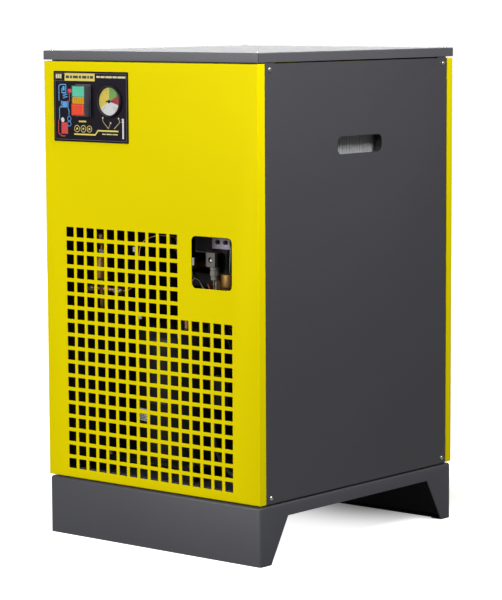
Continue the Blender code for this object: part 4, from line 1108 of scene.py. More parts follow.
gauge = {
    "x": -0.096,
    "z": 0.8775,
    "doorFace": -0.3125,
    "radius": 0.031,
    "recess": 0.0275,
    "front": 0.0080,
    "floor": 0.0036,
    "seat": 0.0018,
    "barrel": 0.0250,
    "barrelBack": -0.034,
    "dialFace": 0.0044,
    "dialBack": 0.0039,
    "needleBase": 0.0048,
    "sectors": ((27, 90, "green"), (-16, 27, "red"), (-149, -16, "white"), (90, 211, "yellow")),
    "scaleStart": 225.0,
    "scaleEnd": -45.0,
    "ticks": 28,
    "needleArm": 0.0215,
}


def makeGaugeCase():
    # the bezel is a rounded bead round the recess
    base = (gauge["x"], gauge["doorFace"], gauge["z"])
    bead = (gauge["radius"] - gauge["recess"]) / 2
    middle = gauge["recess"] + bead
    rim = arcPoints((middle, gauge["front"] - bead), bead, 180, 0, 10)
    profile = [(0, gauge["floor"] + 0.002), (0.0006, gauge["floor"] + 0.002), (0.0006, gauge["floor"])]
    profile += [(gauge["recess"], gauge["floor"])] + rim
    profile += [
        (gauge["radius"], gauge["seat"]),
        (gauge["barrel"], gauge["seat"]),
        (gauge["barrel"], gauge["barrelBack"] + 0.002),
        (gauge["barrel"] - 0.002, gauge["barrelBack"]),
        (0, gauge["barrelBack"]),
    ]
    standFor(turnedPiece("gaugeBezel", profile, base, front, blackPlastic, steps=72), "gauge_case")


def gaugePlace(height):
    return Matrix.Translation((gauge["x"], gauge["doorFace"] - height, gauge["z"])) @ facingFront


def addSector(bm, start, end, inner, outer, height, thickness):
    steps = max(2, int((end - start) / 5))
    outline = arcPoints((0, 0), outer, start, end, steps)
    outline += arcPoints((0, 0), inner, end, start, steps)
    addPlate(bm, outline, gaugePlace(height), thickness)


def makeDial():
    base = (gauge["x"], gauge["doorFace"], gauge["z"])
    disc = gauge["recess"] - 0.0003
    low = gauge["dialBack"]
    high = gauge["dialFace"] - 0.00012
    profile = [(0.0010, low), (disc, low), (disc, high), (0.0010, high), (0.0010, low)]
    standFor(turnedPiece("dialPlate", profile, base, front, whiteCard), "gauge_dial")
    colours = {"green": dialGreen, "red": dialRed, "yellow": dialYellow}
    for start, end, colour in gauge["sectors"]:
        if colour in colours:
            bm = bmesh.new()
            addSector(bm, start, end, 0.0036, 0.0268, high - 0.00002, 0.00008)
            linkMesh(f"{colour}DialSector", bm, colours[colour], smoothAngle=1)
    bm = bmesh.new()
    span = gauge["scaleStart"] - gauge["scaleEnd"]
    for tick in range(gauge["ticks"] + 1):
        turn = gauge["scaleStart"] - span * tick / gauge["ticks"]
        inner = 0.0205 if tick % 4 == 0 else 0.0226
        half = 0.75 if tick % 4 == 0 else 0.45
        addSector(bm, turn - half, turn + half, inner, 0.0248, gauge["dialFace"] - 0.00006, 0.00006)
    linkMesh("dialTicks", bm, printDark, smoothAngle=1)


def addGlyph(bm, strokes, place):
    for (x0, y0), (x1, y1) in strokes:
        way = Vector((x1 - x0, y1 - y0)).normalized() * 0.00016
        across = Vector((-way.y, way.x))
        start = Vector((x0, y0)) - way
        end = Vector((x1, y1)) + way
        outline = [start + across, start - across, end - across, end + across]
        addPlate(bm, [(spot.x, spot.y) for spot in outline], place, 0.00006)


glyphPaths = {
    "0": ((0, 0), (1, 0), (1, 2), (0, 2), (0, 0)),
    "1": ((0.5, 0), (0.5, 2), (0.2, 1.6)),
    "2": ((1, 0), (0, 0), (0, 1), (1, 1), (1, 2), (0, 2)),
    "4": ((0.8, 0), (0.8, 2), (0, 0.7), (1, 0.7)),
    "6": ((0, 1), (1, 1), (1, 0), (0, 0), (0, 2), (1, 2)),
    "8": ((0, 1), (1, 1), (1, 0), (0, 0), (0, 2), (1, 2), (1, 1)),
}


def makeDialNumbers():
    # plain numbers from 0 to 10 along the scale
    bm = bmesh.new()
    size = 0.0011
    for number in (0, 2, 4, 6, 8, 10):
        digits = str(number)
        turn = math.radians(gauge["scaleStart"] - (gauge["scaleStart"] - gauge["scaleEnd"]) * number / 10)
        middle = Vector((0.0172 * math.cos(turn), 0.0172 * math.sin(turn)))
        for place, digit in enumerate(digits):
            left = middle.x + (place - len(digits) / 2) * size * 1.5 + size * 0.25
            path = [(left + x * size, middle.y + (y - 1) * size) for x, y in glyphPaths[digit]]
            addGlyph(bm, list(zip(path, path[1:])), gaugePlace(gauge["dialFace"] - 0.00006))
    linkMesh("dialNumbers", bm, printDark, smoothAngle=1)


def makeNeedle():
    bm = bmesh.new()
    place = gaugePlace(gauge["needleBase"])
    outline = [
        (-0.0085, -0.0013),
        (-0.0020, -0.0009),
        (gauge["needleArm"] - 0.0004, -0.00018),
        (gauge["needleArm"], 0.0),
        (gauge["needleArm"] - 0.0004, 0.00018),
        (-0.0020, 0.0009),
        (-0.0085, 0.0013),
    ]
    addPlate(bm, outline, place, 0.0004)
    hub = [(0.0010, 0.0), (0.0034, 0.0), (0.0034, 0.0009), (0.0028, 0.0013), (0.0, 0.0014), (0.0, 0.0010)]
    hub += [(0.0010, 0.0010), (0.0010, 0.0)]
    addTurned(bm, hub, (gauge["x"], gauge["doorFace"] - gauge["needleBase"], gauge["z"]), front, 32)
    standFor(linkMesh("dialNeedle", bm, blackPlastic, "gauge_needle"), "gauge_needle")


makeGaugeCase()
makeDial()
makeDialNumbers()
makeNeedle()
refined("gaugeGlass", "gauge_lens", clearLens, 0.0, smoothAngle=60)
print("controls made")

# drain valve group behind the service window

drain = {
    "x": 0.140,
    "y": -0.243,
    "coilZ": (0.551, 0.597),
    "coilHalf": 0.018,
    "stem": 0.0065,
    "finCount": 9,
    "finWidth": 0.0016,
}


def roundedOutline(halfX, halfY, radius, steps=6):
    outline = []
    for number, (xWay, yWay) in enumerate(((1, 1), (-1, 1), (-1, -1), (1, -1))):
        centre = (xWay * (halfX - radius), yWay * (halfY - radius))
        outline += arcPoints(centre, radius, 90 * number, 90 * number + 90, steps)
    return outline


def makeCoil():
    # moulded coil with upright ribs on its sides and a paler cap ring under it
    half = drain["coilHalf"]
    low, high = drain["coilZ"]
    bm = bmesh.new()
    place = Matrix.Translation((drain["x"], drain["y"], low + 0.0012))
    addPlate(bm, roundedOutline(half - 0.0016, half - 0.0016, 0.0045), place, high - low - 0.0024)
    for z in (low, high - 0.0034):
        ring = Matrix.Translation((drain["x"], drain["y"], z))
        addPlate(bm, roundedOutline(half, half, 0.005), ring, 0.0034)
    pitch = (2 * half - 0.010) / (drain["finCount"] - 1)
    for number in range(drain["finCount"]):
        spot = -half + 0.005 + pitch * number
        for way in (-1, 1):
            face = way * (half - 0.0002)
            inner = way * (half - 0.0020)
            x0, x1 = sorted((drain["x"] + face, drain["x"] + inner))
            y = drain["y"] + spot
            addBlock(
                bm,
                (x0, y - drain["finWidth"] / 2, low + 0.003),
                (x1, y + drain["finWidth"] / 2, high - 0.003),
            )
    piece = softEdges(linkMesh("ribbedCoil", bm, coilPlastic), 0.0004, 2)
    standFor(piece, "drain_coil")


def makeValveBody():
    # forged block with a bonnet hexagon and a stem that the coil sits on
    bm = bmesh.new()
    place = Matrix.Translation((drain["x"], drain["y"] + 0.0015, 0.515))
    addPlate(bm, roundedOutline(0.018, 0.0165, 0.004), place, 0.0255)
    addRod(bm, (drain["x"], drain["y"], 0.5400), (drain["x"], drain["y"], 0.5455), 0.0125, 6)
    addRod(
        bm,
        (drain["x"], drain["y"], 0.5400),
        (drain["x"], drain["y"], drain["coilZ"][1] - 0.001),
        drain["stem"],
        32,
    )
    for x in (-0.0181, 0.0141):
        addRod(
            bm, (drain["x"] + x, drain["y"], 0.5285), (drain["x"] + x + 0.004, drain["y"], 0.5285), 0.0095, 6
        )
    piece = softEdges(linkMesh("drainValveForging", bm, castBrass), 0.0006, 2)
    standFor(piece, "drain_valve_body")
    bm = bmesh.new()
    addRod(bm, (drain["x"], drain["y"], 0.5462), (drain["x"], drain["y"], 0.5506), 0.0090, 32)
    softEdges(linkMesh("coilWasher", bm, zincSteel), 0.0004)


makeCoil()
makeValveBody()

plug = {
    "x": 0.135,
    "half": 0.0115,
    "z": (0.564, 0.592),
    "front": -0.286,
    "split": -0.2770,
    "back": -0.2613,
    "wellRadius": 0.0052,
    "wellDepth": 0.0055,
    "screwHead": 0.0034,
    "screwFace": 0.0031,
    "glandRadius": 0.0093,
    "glandTop": 0.5637,
    "glandFoot": 0.5378,
    "glandY": -0.2726,
    "ribs": 14,
}


def addWelled(bm, outline, place, thickness, radius, depth):
    # a plate along its frame's Z with a round well in its far face
    rows = []
    for lift in (thickness, thickness - depth):
        well = []
        for u, v in outline:
            reach = radius / math.hypot(u, v)
            well.append(bm.verts.new(place @ Vector((u * reach, v * reach, lift))))
        rows.append(well)
    mouth, floor = rows
    near, far = (
        [bm.verts.new(place @ Vector((u, v, lift))) for u, v in outline] for lift in (0.0, thickness)
    )
    bm.faces.new(near)
    bm.faces.new(floor)
    for index in range(len(outline)):
        after = (index + 1) % len(outline)
        for first, second in ((near, far), (far, mouth), (mouth, floor)):
            bm.faces.new((first[index], first[after], second[after], second[index]))


def densified(outline, length):
    # the outline with its long edges cut into shorter ones
    points = []
    for (x0, y0), (x1, y1) in zip(outline, outline[1:] + outline[:1]):
        cuts = max(1, round(math.hypot(x1 - x0, y1 - y0) / length))
        points += [(x0 + (x1 - x0) * cut / cuts, y0 + (y1 - y0) * cut / cuts) for cut in range(cuts)]
    return points


def makePlug():
    # pale cover over a black back half, with a screw deep in a round well
    middleZ = (plug["z"][0] + plug["z"][1]) / 2
    half = plug["half"]
    tall = (plug["z"][1] - plug["z"][0]) / 2
    bm = bmesh.new()
    outline = densified(roundedOutline(half, tall, 0.0016, 4), 0.0022)
    cover = Matrix.Translation((plug["x"], plug["split"], middleZ)) @ facingFront
    addWelled(bm, outline, cover, plug["split"] - plug["front"], plug["wellRadius"], plug["wellDepth"])
    piece = softEdges(linkMesh("plugCover", bm, greyPlastic), 0.0008, 3, 50)
    standFor(piece, "din_connector")
    bm = bmesh.new()
    back = Matrix.Translation((plug["x"], plug["back"], middleZ)) @ facingFront
    addPlate(
        bm, roundedOutline(half - 0.0008, tall - 0.0010, 0.0016), back, plug["back"] - plug["split"] - hair
    )
    softEdges(linkMesh("plugBack", bm, coilPlastic), 0.0006)
    # a black cup lining the screw's well: painted shade in the recess
    bm = bmesh.new()
    lining = plug["wellRadius"] - hair
    base = (plug["x"], plug["front"], middleZ)
    depth = plug["wellDepth"] - hair
    profile = [(0, -depth), (lining, -depth), (lining, -0.0004), (lining - 0.0006, -0.0004)]
    profile += [(lining - 0.0006, -depth + 0.0003), (0, -depth + 0.0003)]
    addTurned(bm, profile, base, front, 40)
    linkMesh("plugWellPaintedShade", bm, coilPlastic)
    bm = bmesh.new()
    head = plug["screwHead"]
    face = -plug["screwFace"]
    profile = [
        (0, face - 0.0007), (head * 0.80, face - 0.0007), (head * 0.80, face - 0.0001), (head * 0.92, face),
               (head, face - 0.0004), (head, face - 0.0018), (0, face - 0.0018)]
    addTurned(bm, profile, base, front, 32)
    recessSegments(bm, Vector(base) + front * (face - 0.0014), front, head * 0.78, 0.0004, 2)
    standFor(linkMesh("plugScrewHead", bm, zincSteel), "connector_screw")


def makeGland():
    # ribbed upper nut, a groove and a slimmer clamp nut below
    bm = bmesh.new()
    height = plug["glandTop"] - plug["glandFoot"]
    radius = plug["glandRadius"]
    profile = [
        (0, height), (radius - 0.0012, height), (radius - 0.0004, height - 0.0008), (radius - 0.0004, 0.0202),
        (radius - 0.0014, 0.0196), (radius - 0.0014, 0.0186),
        (radius - 0.0004, 0.0180), (radius - 0.0004, 0.0092),
        (radius - 0.0016, 0.0082), (0.0070, 0.0076), (0.0070, 0.0062), (0.0079, 0.0056), (0.0079, 0.0014),
        (0.0064, 0.0), (0, 0),
    ]
    base = Vector((plug["x"], plug["glandY"], plug["glandFoot"]))
    addTurned(bm, profile, base, up, 56)
    for number in range(plug["ribs"]):
        turn = math.tau * number / plug["ribs"]
        spot = base + Vector((math.cos(turn), math.sin(turn), 0)) * (radius - 0.0009)
        addRod(bm, spot + up * 0.0098, spot + up * 0.0176, 0.0009, 8)
    for number in range(6):
        turn = math.tau * (number + 0.5) / 6
        spot = base + Vector((math.cos(turn), math.sin(turn), 0)) * 0.0074
        addRod(bm, spot + up * 0.0018, spot + up * 0.0058, 0.0008, 8)
    standFor(linkMesh("plugGlandNut", bm, glandPlastic), "connector_gland")


makePlug()
makeGland()

leads = {
    "route": (
        (0.135, -0.2726, 0.5375),
        (0.135, -0.2726, 0.5128),
        (0.129, -0.2696, 0.4878),
        (0.108, -0.2646, 0.4718),
        (0.080, -0.2620, 0.4780),
        (0.050, -0.2610, 0.5050),
        (0.036, -0.2610, 0.5600),
        (0.028, -0.2610, 0.6400),
        (0.010, -0.2600, 0.7300),
        (-0.040, -0.2560, 0.8000),
        (-0.100, -0.2460, 0.8450),
        (-0.145, -0.2400, 0.8680),
        (-0.1661, -0.2500, 0.8740),
        (-0.1671, -0.2677, 0.8750),
    ),
    "strand": 0.0016,
    "apart": 0.0026,
}


def makeLeads():
    # two strands side by side along one route
    left = leadPiece("coilLeadTan", leads["route"], leads["strand"], leadTan, (-leads["apart"], 0, 0))
    standFor(left, "solenoid_lead")
    leadPiece("coilLeadGrey", leads["route"], leads["strand"], leadGrey, (leads["apart"], 0.0004, 0))
    bm = bmesh.new()
    for number in (1, 4, 6, 8, 10):
        spot = Vector(leads["route"][number])
        ahead = (Vector(leads["route"][number + 1]) - spot).normalized()
        addRod(
            bm, spot - ahead * 0.0018, spot + ahead * 0.0018, leads["strand"] + leads["apart"] + 0.0003, 20
        )
    softEdges(linkMesh("coilLeadTies", bm, blackPlastic), 0.0004)


makeLeads()

timer = {
    "x": (0.118, 0.164),
    "y": (-0.262, -0.228),
    "z": (0.5973, 0.620),
    "knobX": (0.1345, 0.1538),
    "knobZ": 0.611,
    "knobRadius": 0.0042,
    "knobRise": 0.0040,
    "flutes": 12,
}


def makeTimer():
    # moulded box with a raised rim round its face, two knob dials, and two white marks under them that are
    # painted glints
    low = (timer["x"][0], timer["y"][0] + 0.0006, timer["z"][0])
    high = (timer["x"][1], timer["y"][1], timer["z"][1])
    bm = bmesh.new()
    addBlock(bm, low, high)
    standFor(softEdges(linkMesh("timerCase", bm, timerPlastic), 0.0012, 3), "drain_timer")
    bm = bmesh.new()
    face = timer["y"][0]
    addFrameRing(
        bm,
        (low[0] + 0.0014, face, low[2] + 0.0014),
        (high[0] - 0.0014, face + 0.0008, high[2] - 0.0014),
        0.0009,
    )
    softEdges(linkMesh("timerRim", bm, timerPlastic), 0.0002)
    bm = bmesh.new()
    for x in timer["knobX"]:
        for mark in range(9):
            turn = math.radians(225 - 270 * mark / 8)
            spot = Vector(
                (x + 0.0060 * math.cos(turn), face + 0.0005, timer["knobZ"] + 0.0060 * math.sin(turn))
            )
            addRod(bm, spot, spot + front * 0.0002, 0.00028, 8)
    linkMesh("timerScaleDots", bm, printWhite, smoothAngle=1)
    # white blocks under the knobs: painted glints
    bm = bmesh.new()
    for x in timer["knobX"]:
        spot = Vector((x + 0.0006, face + 0.0005, timer["knobZ"] - 0.0070))
        addBlock(bm, spot + Vector((-0.0026, -0.0004, -0.0011)), spot + Vector((0.0026, 0.0, 0.0011)))
    softEdges(linkMesh("timerPaintedGlints", bm, printWhite), 0.0002)
    for name, nodeName, x in zip(("onKnob", "offKnob"), ("timer_on_knob", "timer_off_knob"), timer["knobX"]):
        bm = bmesh.new()
        base = Vector((x, timer["y"][0] - 0.0003, timer["knobZ"]))
        radius = timer["knobRadius"] - 0.0003
        rise = timer["knobRise"]
        profile = [
            (0, rise - 0.0008), (radius - 0.0008, rise - 0.0008),
            (radius - 0.0008, rise), (radius - 0.0003, rise),
            (radius, rise - 0.0004), (radius, 0.0), (0, 0.0),
        ]
        addTurned(bm, profile, base, front, 40)
        for number in range(timer["flutes"]):
            turn = math.tau * number / timer["flutes"]
            spot = base + Vector((math.cos(turn), 0, math.sin(turn))) * (radius - 0.0001)
            addRod(bm, spot + front * 0.0004, spot + front * (rise - 0.0006), 0.0004, 8)
        addBlock(
            bm,
            base + Vector((-0.0022, -rise + hair, -0.0002)),
            base + Vector((0.0022, -rise + 0.0010, 0.0002)),
        )
        standFor(linkMesh(name, bm, blackPlastic, nodeName), nodeName)


makeTimer()

strainer = {
    "x": 0.181,
    "y": -0.282,
    "legEnd": -0.2300,
    "legZ": 0.541,
    "sideEnd": 0.1583,
}


def makeStrainer():
    # cast barrel with a hexagon cap on top, a plug below and two threaded legs
    x = strainer["x"]
    y = strainer["y"]
    bm = bmesh.new()
    profile = [
        (0, 0.5537), (0.0100, 0.5537), (0.0104, 0.5543), (0.0150, 0.5543), (0.0164, 0.5536), (0.0170, 0.5525),
        (0.0170, 0.5305), (0.0165, 0.5285), (0.0150, 0.5262), (0.0090, 0.5250), (0.0085, 0.5200),
        (0, 0.5200),
    ]
    addTurned(bm, profile, (x, y, 0), up, 56)
    addRod(bm, (x, y, 0.5132), (x, y, 0.5215), 0.0092, 6)
    for z in (0.5330, 0.5385, 0.5440, 0.5495):
        bead = [(0.0165, z - 0.0011)] + arcPoints((0.0166, z), 0.0004, -80, 80, 6) + [(0.0165, z + 0.0011)]
        bead.append((0.0165, z - 0.0011))
        addTurned(bm, bead, (x, y, 0), up, 56)
    z = strainer["legZ"]
    addRod(bm, (x, y, z), (x, strainer["legEnd"], z), 0.0086, 32)
    for start, end in ((-0.2620, -0.2560), (-0.2395, -0.2302)):
        addRod(bm, (x, start, z), (x, end, z), 0.0095, 6)
    addRod(bm, (x, drain["y"], z - 0.008), (strainer["sideEnd"], drain["y"], z - 0.008), 0.0062, 32)
    addRod(bm, (x, drain["y"], z), (x, drain["y"], z - 0.0155), 0.0078, 32)
    piece = softEdges(linkMesh("strainerCasting", bm, castBrass), 0.0005, 2)
    standFor(piece, "drain_strainer")


def makeLever():
    # pressed arm with a turned-down tip and a nut on the stem
    x = strainer["x"]
    top = strainer["legZ"] - 0.0155 - 0.0003
    base = Vector((x, drain["y"], top))
    bm = bmesh.new()
    addTurned(
        bm, [(0, 0), (0.0060, 0), (0.0065, -0.0006), (0.0065, -0.0040), (0.0058, -0.0050), (0, -0.0050)],
              base, up, 32)
    outline = [(-0.0030, 0.0), (-0.0045, 0.010), (-0.0045, 0.032)]
    outline += arcPoints((0.0, 0.0335), 0.0045, 180, 0, 10)
    outline += [(0.0045, 0.010), (0.0030, 0.0)]
    addPlate(bm, outline, Matrix.Translation(base + Vector((0, 0, -0.0048))), 0.0022)
    piece = softEdges(linkMesh("valveLever", bm, leverGrip, "shutoff_lever"), 0.0004, 2)
    standFor(piece, "shutoff_lever")


makeStrainer()
makeLever()

feed = {
    "corners": ((0.181, -0.2297, 0.541), (0.181, -0.150, 0.541), (0.181, -0.150, 0.5977)),
    "bend": 0.020,
    "radius": 0.0064,
}

hose = {
    "route": (
        (0.1217, -0.243, 0.5280),
        (0.115, -0.243, 0.5280),
        (0.107, -0.243, 0.5260),
        (0.092, -0.236, 0.5000),
        (0.089, -0.230, 0.4000),
        (0.092, -0.228, 0.2600),
        (0.115, -0.224, 0.1650),
        (0.175, -0.215, 0.1400),
        (0.225, -0.185, 0.1350),
        (0.244, -0.120, 0.1340),
        (0.245, 0.000, 0.1340),
        (0.244, 0.110, 0.1340),
        (0.232, 0.200, 0.1460),
        (0.222, 0.255, 0.1670),
        (0.220, 0.2847, 0.1700),
    ),
    "radius": 0.0044,
}


def makeDrainLines():
    standFor(
        pipePiece("feedPipe", feed["corners"], feed["bend"], feed["radius"], copperTube), "drain_feed_pipe"
    )
    standFor(leadPiece("drainHoseRun", hose["route"], hose["radius"], rubberBlack), "drain_hose")
    bm = bmesh.new()
    start = Vector(hose["route"][0])
    addTurned(
        bm,
        [
            (hose["radius"], 0.0),
            (0.0052, 0.0),
            (0.0055, 0.0005),
            (0.0055, 0.0045),
            (0.0052, 0.005),
            (hose["radius"], 0.005),
        ],
        start + Vector((-0.0012, 0, 0)),
        -right,
        32,
    )
    linkMesh("drainHoseClip", bm, zincSteel)
    for number, route in enumerate(windowWires):
        leadPiece(f"windowWire{number + 1}", route["points"], route["radius"], route["material"])


windowWires = (
    {
        "points": ((0.0700, -0.2700, 0.4900), (0.0820, -0.2850, 0.5240), (0.0930, -0.2845, 0.5390),
                   (0.1010, -0.2835, 0.5380), (0.1110, -0.2832, 0.5265), (0.1200, -0.2830, 0.5130),
                   (0.1270, -0.2810, 0.4980)),
        "radius": 0.0009,
        "material": leadCream,
    },
    {
        "points": ((0.1100, -0.2500, 0.5080), (0.1290, -0.2860, 0.5300), (0.1335, -0.2862, 0.5210),
                   (0.1350, -0.2850, 0.5080), (0.1310, -0.2760, 0.4860)),
        "radius": 0.0012,
        "material": wireRed,
    },
    {
        "points": ((0.1664, -0.2624, 0.6040), (0.1668, -0.2640, 0.5850), (0.1664, -0.2645, 0.5700),
                   (0.1640, -0.2620, 0.5560), (0.1610, -0.2580, 0.5480)),
        "radius": 0.0007,
        "material": leadGrey,
    },
)

makeDrainLines()
print("drain valve group made")

# refrigeration circuit

compressor = {
    "centre": (-0.1126, -0.075),
    "radius": 0.105,
    "foot": 0.142,
    "shoulder": 0.377,
    "dome": 0.036,
    "crown": 0.070,
    "hollow": 0.092,
    "weld": 0.262,
    "spacing": 0.222,
    "plateHalf": 0.127,
    "cardAngle": 254,
}


def makeCan():
    # drawn steel can with a weld bead round its middle and a pressed crown
    x, y = compressor["centre"]
    radius = compressor["radius"]
    dome = []
    for step in range(17):
        turn = math.radians(90 * step / 16)
        reach = compressor["crown"] + (radius - compressor["crown"]) * math.sin(turn)
        dome.append((reach, compressor["shoulder"] + compressor["dome"] * math.cos(turn)))
    top = compressor["shoulder"] + compressor["dome"]
    bead = [(radius - 0.0005 + 0.0005 * math.sin(a / 8 * math.pi), compressor["weld"] + 0.004 - a * 0.001)
            for a in range(9)]
    profile = [(0, top - 0.0015), (0.030, top - 0.0012), (0.050, top)] + dome
    profile += [(radius - 0.0006, compressor["weld"] + 0.006)] + bead
    profile += [(radius - 0.0006, compressor["weld"] - 0.006), (radius - 0.0006, compressor["foot"] + 0.004)]
    profile += [
        (compressor["hollow"], compressor["foot"] + 0.004), (compressor["hollow"], compressor["shoulder"])
    ]
    profile += [(0, compressor["shoulder"])]
    bm = bmesh.new()
    addTurned(bm, profile, (x, y, 0), up, 72)
    linkMesh("compressorCan", bm, blackPaint, smoothAngle=30)
    standFor(bpy.data.objects["compressorCan"], "compressor")


def makeCompressorFoot():
    x, y = compressor["centre"]
    half = compressor["plateHalf"]
    foot = compressor["foot"]
    bm = bmesh.new()
    outer = roundedOutline(half, half, 0.020, 8)
    place = Matrix.Translation((x, y, foot - 0.0013))
    addPlate(bm, outer, place, 0.0036)
    softEdges(linkMesh("compressorFootPlate", bm, blackPaint), 0.0006)
    for number, (xWay, yWay) in enumerate(((-1, -1), (1, -1), (-1, 1), (1, 1)), 1):
        spot = Vector((x + xWay * compressor["spacing"] / 2, y + yWay * compressor["spacing"] / 2, foot))
        rubber = bmesh.new()
        profile = [
            (0.0030, 0.0026), (0.0085, 0.0026), (0.0105, 0.0032),
            (0.0110, 0.0042), (0.0100, 0.0056), (0.0030, 0.0060),
            (0.0030, 0.0026),
        ]
        addTurned(rubber, profile, spot, up, 32)
        below = [
            (0.0030, -0.0016), (0.0120, -0.0016), (0.0130, -0.0120), (0.0120, -0.0250), (0.0030, -0.0250),
            (0.0030, -0.0016),
        ]
        addTurned(rubber, below, spot, up, 32)
        linkMesh(f"footGrommet{number}", rubber, rubberBlack)
        bolt = bmesh.new()
        addRod(bolt, spot + up * 0.0061, spot + up * 0.0073, 0.0085, 32)
        addRod(bolt, spot + up * 0.0074, spot + up * 0.0124, 0.0062, 6)
        addRod(bolt, spot + up * 0.0100, spot + up * 0.0165, 0.0030, 16)
        softEdges(linkMesh(f"footBolt{number}", bolt, zincSteel), 0.0004)


def addCurvedCard(bm, start, end, steps, depth, low, height):
    # a thin card bent round the can, between two angles in degrees
    x, y = compressor["centre"]
    near = compressor["radius"] + 0.0001
    far = near + depth
    for step in range(steps):
        a0 = math.radians(compressor["cardAngle"] + start + (end - start) * step / steps)
        a1 = math.radians(compressor["cardAngle"] + start + (end - start) * (step + 1) / steps)
        corners = []
        for turn, reach in ((a0, near), (a1, near), (a1, far), (a0, far)):
            corners.append((x + reach * math.cos(turn), y + reach * math.sin(turn)))
        addPlate(bm, corners, Matrix.Translation((0, 0, low)), height)


def makeTerminals():
    # moulded terminal cover, and a card label on the can
    x, y = compressor["centre"]
    side = x + compressor["radius"]
    z0 = compressor["foot"] + 0.110
    bm = bmesh.new()
    addBlock(bm, (side - 0.0195, y - 0.0298, z0 + 0.0002), (side + 0.0225, y + 0.0298, z0 + 0.0698))
    addBlock(bm, (side + 0.0222, y - 0.0240, z0 + 0.0060), (side + 0.0256, y + 0.0240, z0 + 0.0640))
    softEdges(linkMesh("terminalCover", bm, blackPlastic), 0.0022, 3)
    bm = bmesh.new()
    addCurvedCard(bm, -9.5, 9.5, 12, 0.0003, 0.224, 0.025)
    bmesh.ops.remove_doubles(bm, verts=bm.verts, dist=0.000004)
    linkMesh("compressorCard", bm, whiteCard)
    bm = bmesh.new()
    for row in range(6):
        bars = ((-7.5, -2.0), (-0.8, 4.0 + (row % 3)), (5.6, 7.8))[: 3 if row % 2 else 2]
        for start, end in bars:
            addCurvedCard(bm, start, end, 1, 0.00045, 0.2445 - row * 0.0034 - 0.0012, 0.0016)
    linkMesh("compressorCardPrint", bm, printDark)


makeCan()
makeCompressorFoot()
makeTerminals()

condenser = {
    "x": (-0.240, 0.180),
    "y": (0.150, 0.200),
    "z": (0.1163, 0.540),
    "core": (0.152, 0.198),
    "finPitch": 0.0042,
    "finThickness": 0.0007,
    "tubeRows": 9,
    "tubeRadius": 0.0048,
}


def makeCondenser():
    # end plates, a stack of upright fins and hairpin tubes that pass through them
    x0, x1 = condenser["x"]
    y0, y1 = condenser["y"]
    z0, z1 = condenser["z"]
    bm = bmesh.new()
    addBlock(bm, (x0, y0, z0), (x0 + 0.003, y1, z1))
    addBlock(bm, (x1 - 0.003, y0, z0), (x1, y1, z1))
    addBlock(bm, (x0 + 0.003 - hair, y0, z0), (x1 - 0.003 + hair, y1, z0 + 0.004))
    addBlock(bm, (x0 + 0.003 - hair, y0, z1 - 0.004), (x1 - 0.003 + hair, y1, z1))
    frameOfCoil = softEdges(linkMesh("condenserFrame", bm, galvanisedSteel), 0.0004)
    standFor(frameOfCoil, "condenser_coil")
    bm = bmesh.new()
    left = x0 + 0.018
    count = int((x1 - x0 - 0.036) / condenser["finPitch"])
    for number in range(count + 1):
        x = left + number * condenser["finPitch"]
        low = (x, condenser["core"][0], z0 + 0.005)
        addBlock(bm, low, (x + condenser["finThickness"], condenser["core"][1], z1 - 0.005))
    linkMesh("condenserFins", bm, finAluminium)
    bm = bmesh.new()
    rows = condenser["tubeRows"]
    pitch = (z1 - z0 - 0.030) / (rows - 1)
    for row in range(rows):
        z = z0 + 0.015 + row * pitch
        for y in (y0 + 0.0125, y1 - 0.0125):
            addRod(bm, (x0 + 0.0032, y, z), (x1 - 0.0032, y, z), condenser["tubeRadius"], 16)
    linkMesh("condenserTubes", bm, copperTube)


makeCondenser()
refined("fanShroudSheet", "fan_shroud", galvanisedSteel, 0.0004, 2)

fan = {
    "centre": (-0.030, 0.2525, 0.330),
    "vaneY": 0.234,
    "radius": 0.150,
    "blades": 5,
    "root": 0.026,
    "hub": 0.034,
    "bore": 0.0046,
    "thickness": 0.0019,
    "barHalf": 0.008,
    "barReach": 0.206,
    "barY": (0.2643, 0.2673),
}


def addVane(bm, turn):
    # one curved, pitched vane that widens towards its tip
    columns = 14
    rows = 10
    spin = Matrix.Rotation(turn, 4, "Y")
    sheets = []
    for lift in (-fan["thickness"] / 2, fan["thickness"] / 2):
        grid = []
        for column in range(columns + 1):
            along = column / columns
            radius = fan["root"] + (fan["radius"] - 0.0006 - fan["root"]) * along
            line = []
            for row in range(rows + 1):
                across = row / rows * 2 - 1
                trim = 1 - 0.10 * max(0.0, along - 0.8) / 0.2 * abs(across) ** 3
                chord = (0.024 + 0.030 * along) * (1 - 0.10 * max(0.0, along - 0.85) / 0.15)
                pitch = math.radians(34 - 12 * along)
                camber = 0.004 * (1 - across**2)
                sweep = across * chord * math.cos(pitch) * 0.98 - 0.004 * along
                depth = across * chord * 0.49 * math.sin(pitch) + camber * 0.9
                thin = 1 if abs(across) < 0.95 else 0.35
                spot = Vector((radius * trim, depth + lift * thin, sweep))
                line.append(
                    bm.verts.new(spin @ spot + Vector((fan["centre"][0], fan["vaneY"], fan["centre"][2])))
                )
            grid.append(line)
        sheets.append(grid)
    lower, upper = sheets
    for column in range(columns):
        for row in range(rows):
            ring = ((column, row), (column + 1, row), (column + 1, row + 1), (column, row + 1))
            bm.faces.new([lower[c][r] for c, r in ring])
            bm.faces.new([upper[c][r] for c, r in reversed(ring)])
    rim = [(c, 0) for c in range(columns + 1)] + [(columns, r) for r in range(1, rows + 1)]
    rim += [(c, rows) for c in range(columns - 1, -1, -1)] + [(0, r) for r in range(rows - 1, -1, -1)]
    for (c0, r0), (c1, r1) in zip(rim, rim[1:]):
        bm.faces.new((lower[c0][r0], upper[c0][r0], upper[c1][r1], lower[c1][r1]))


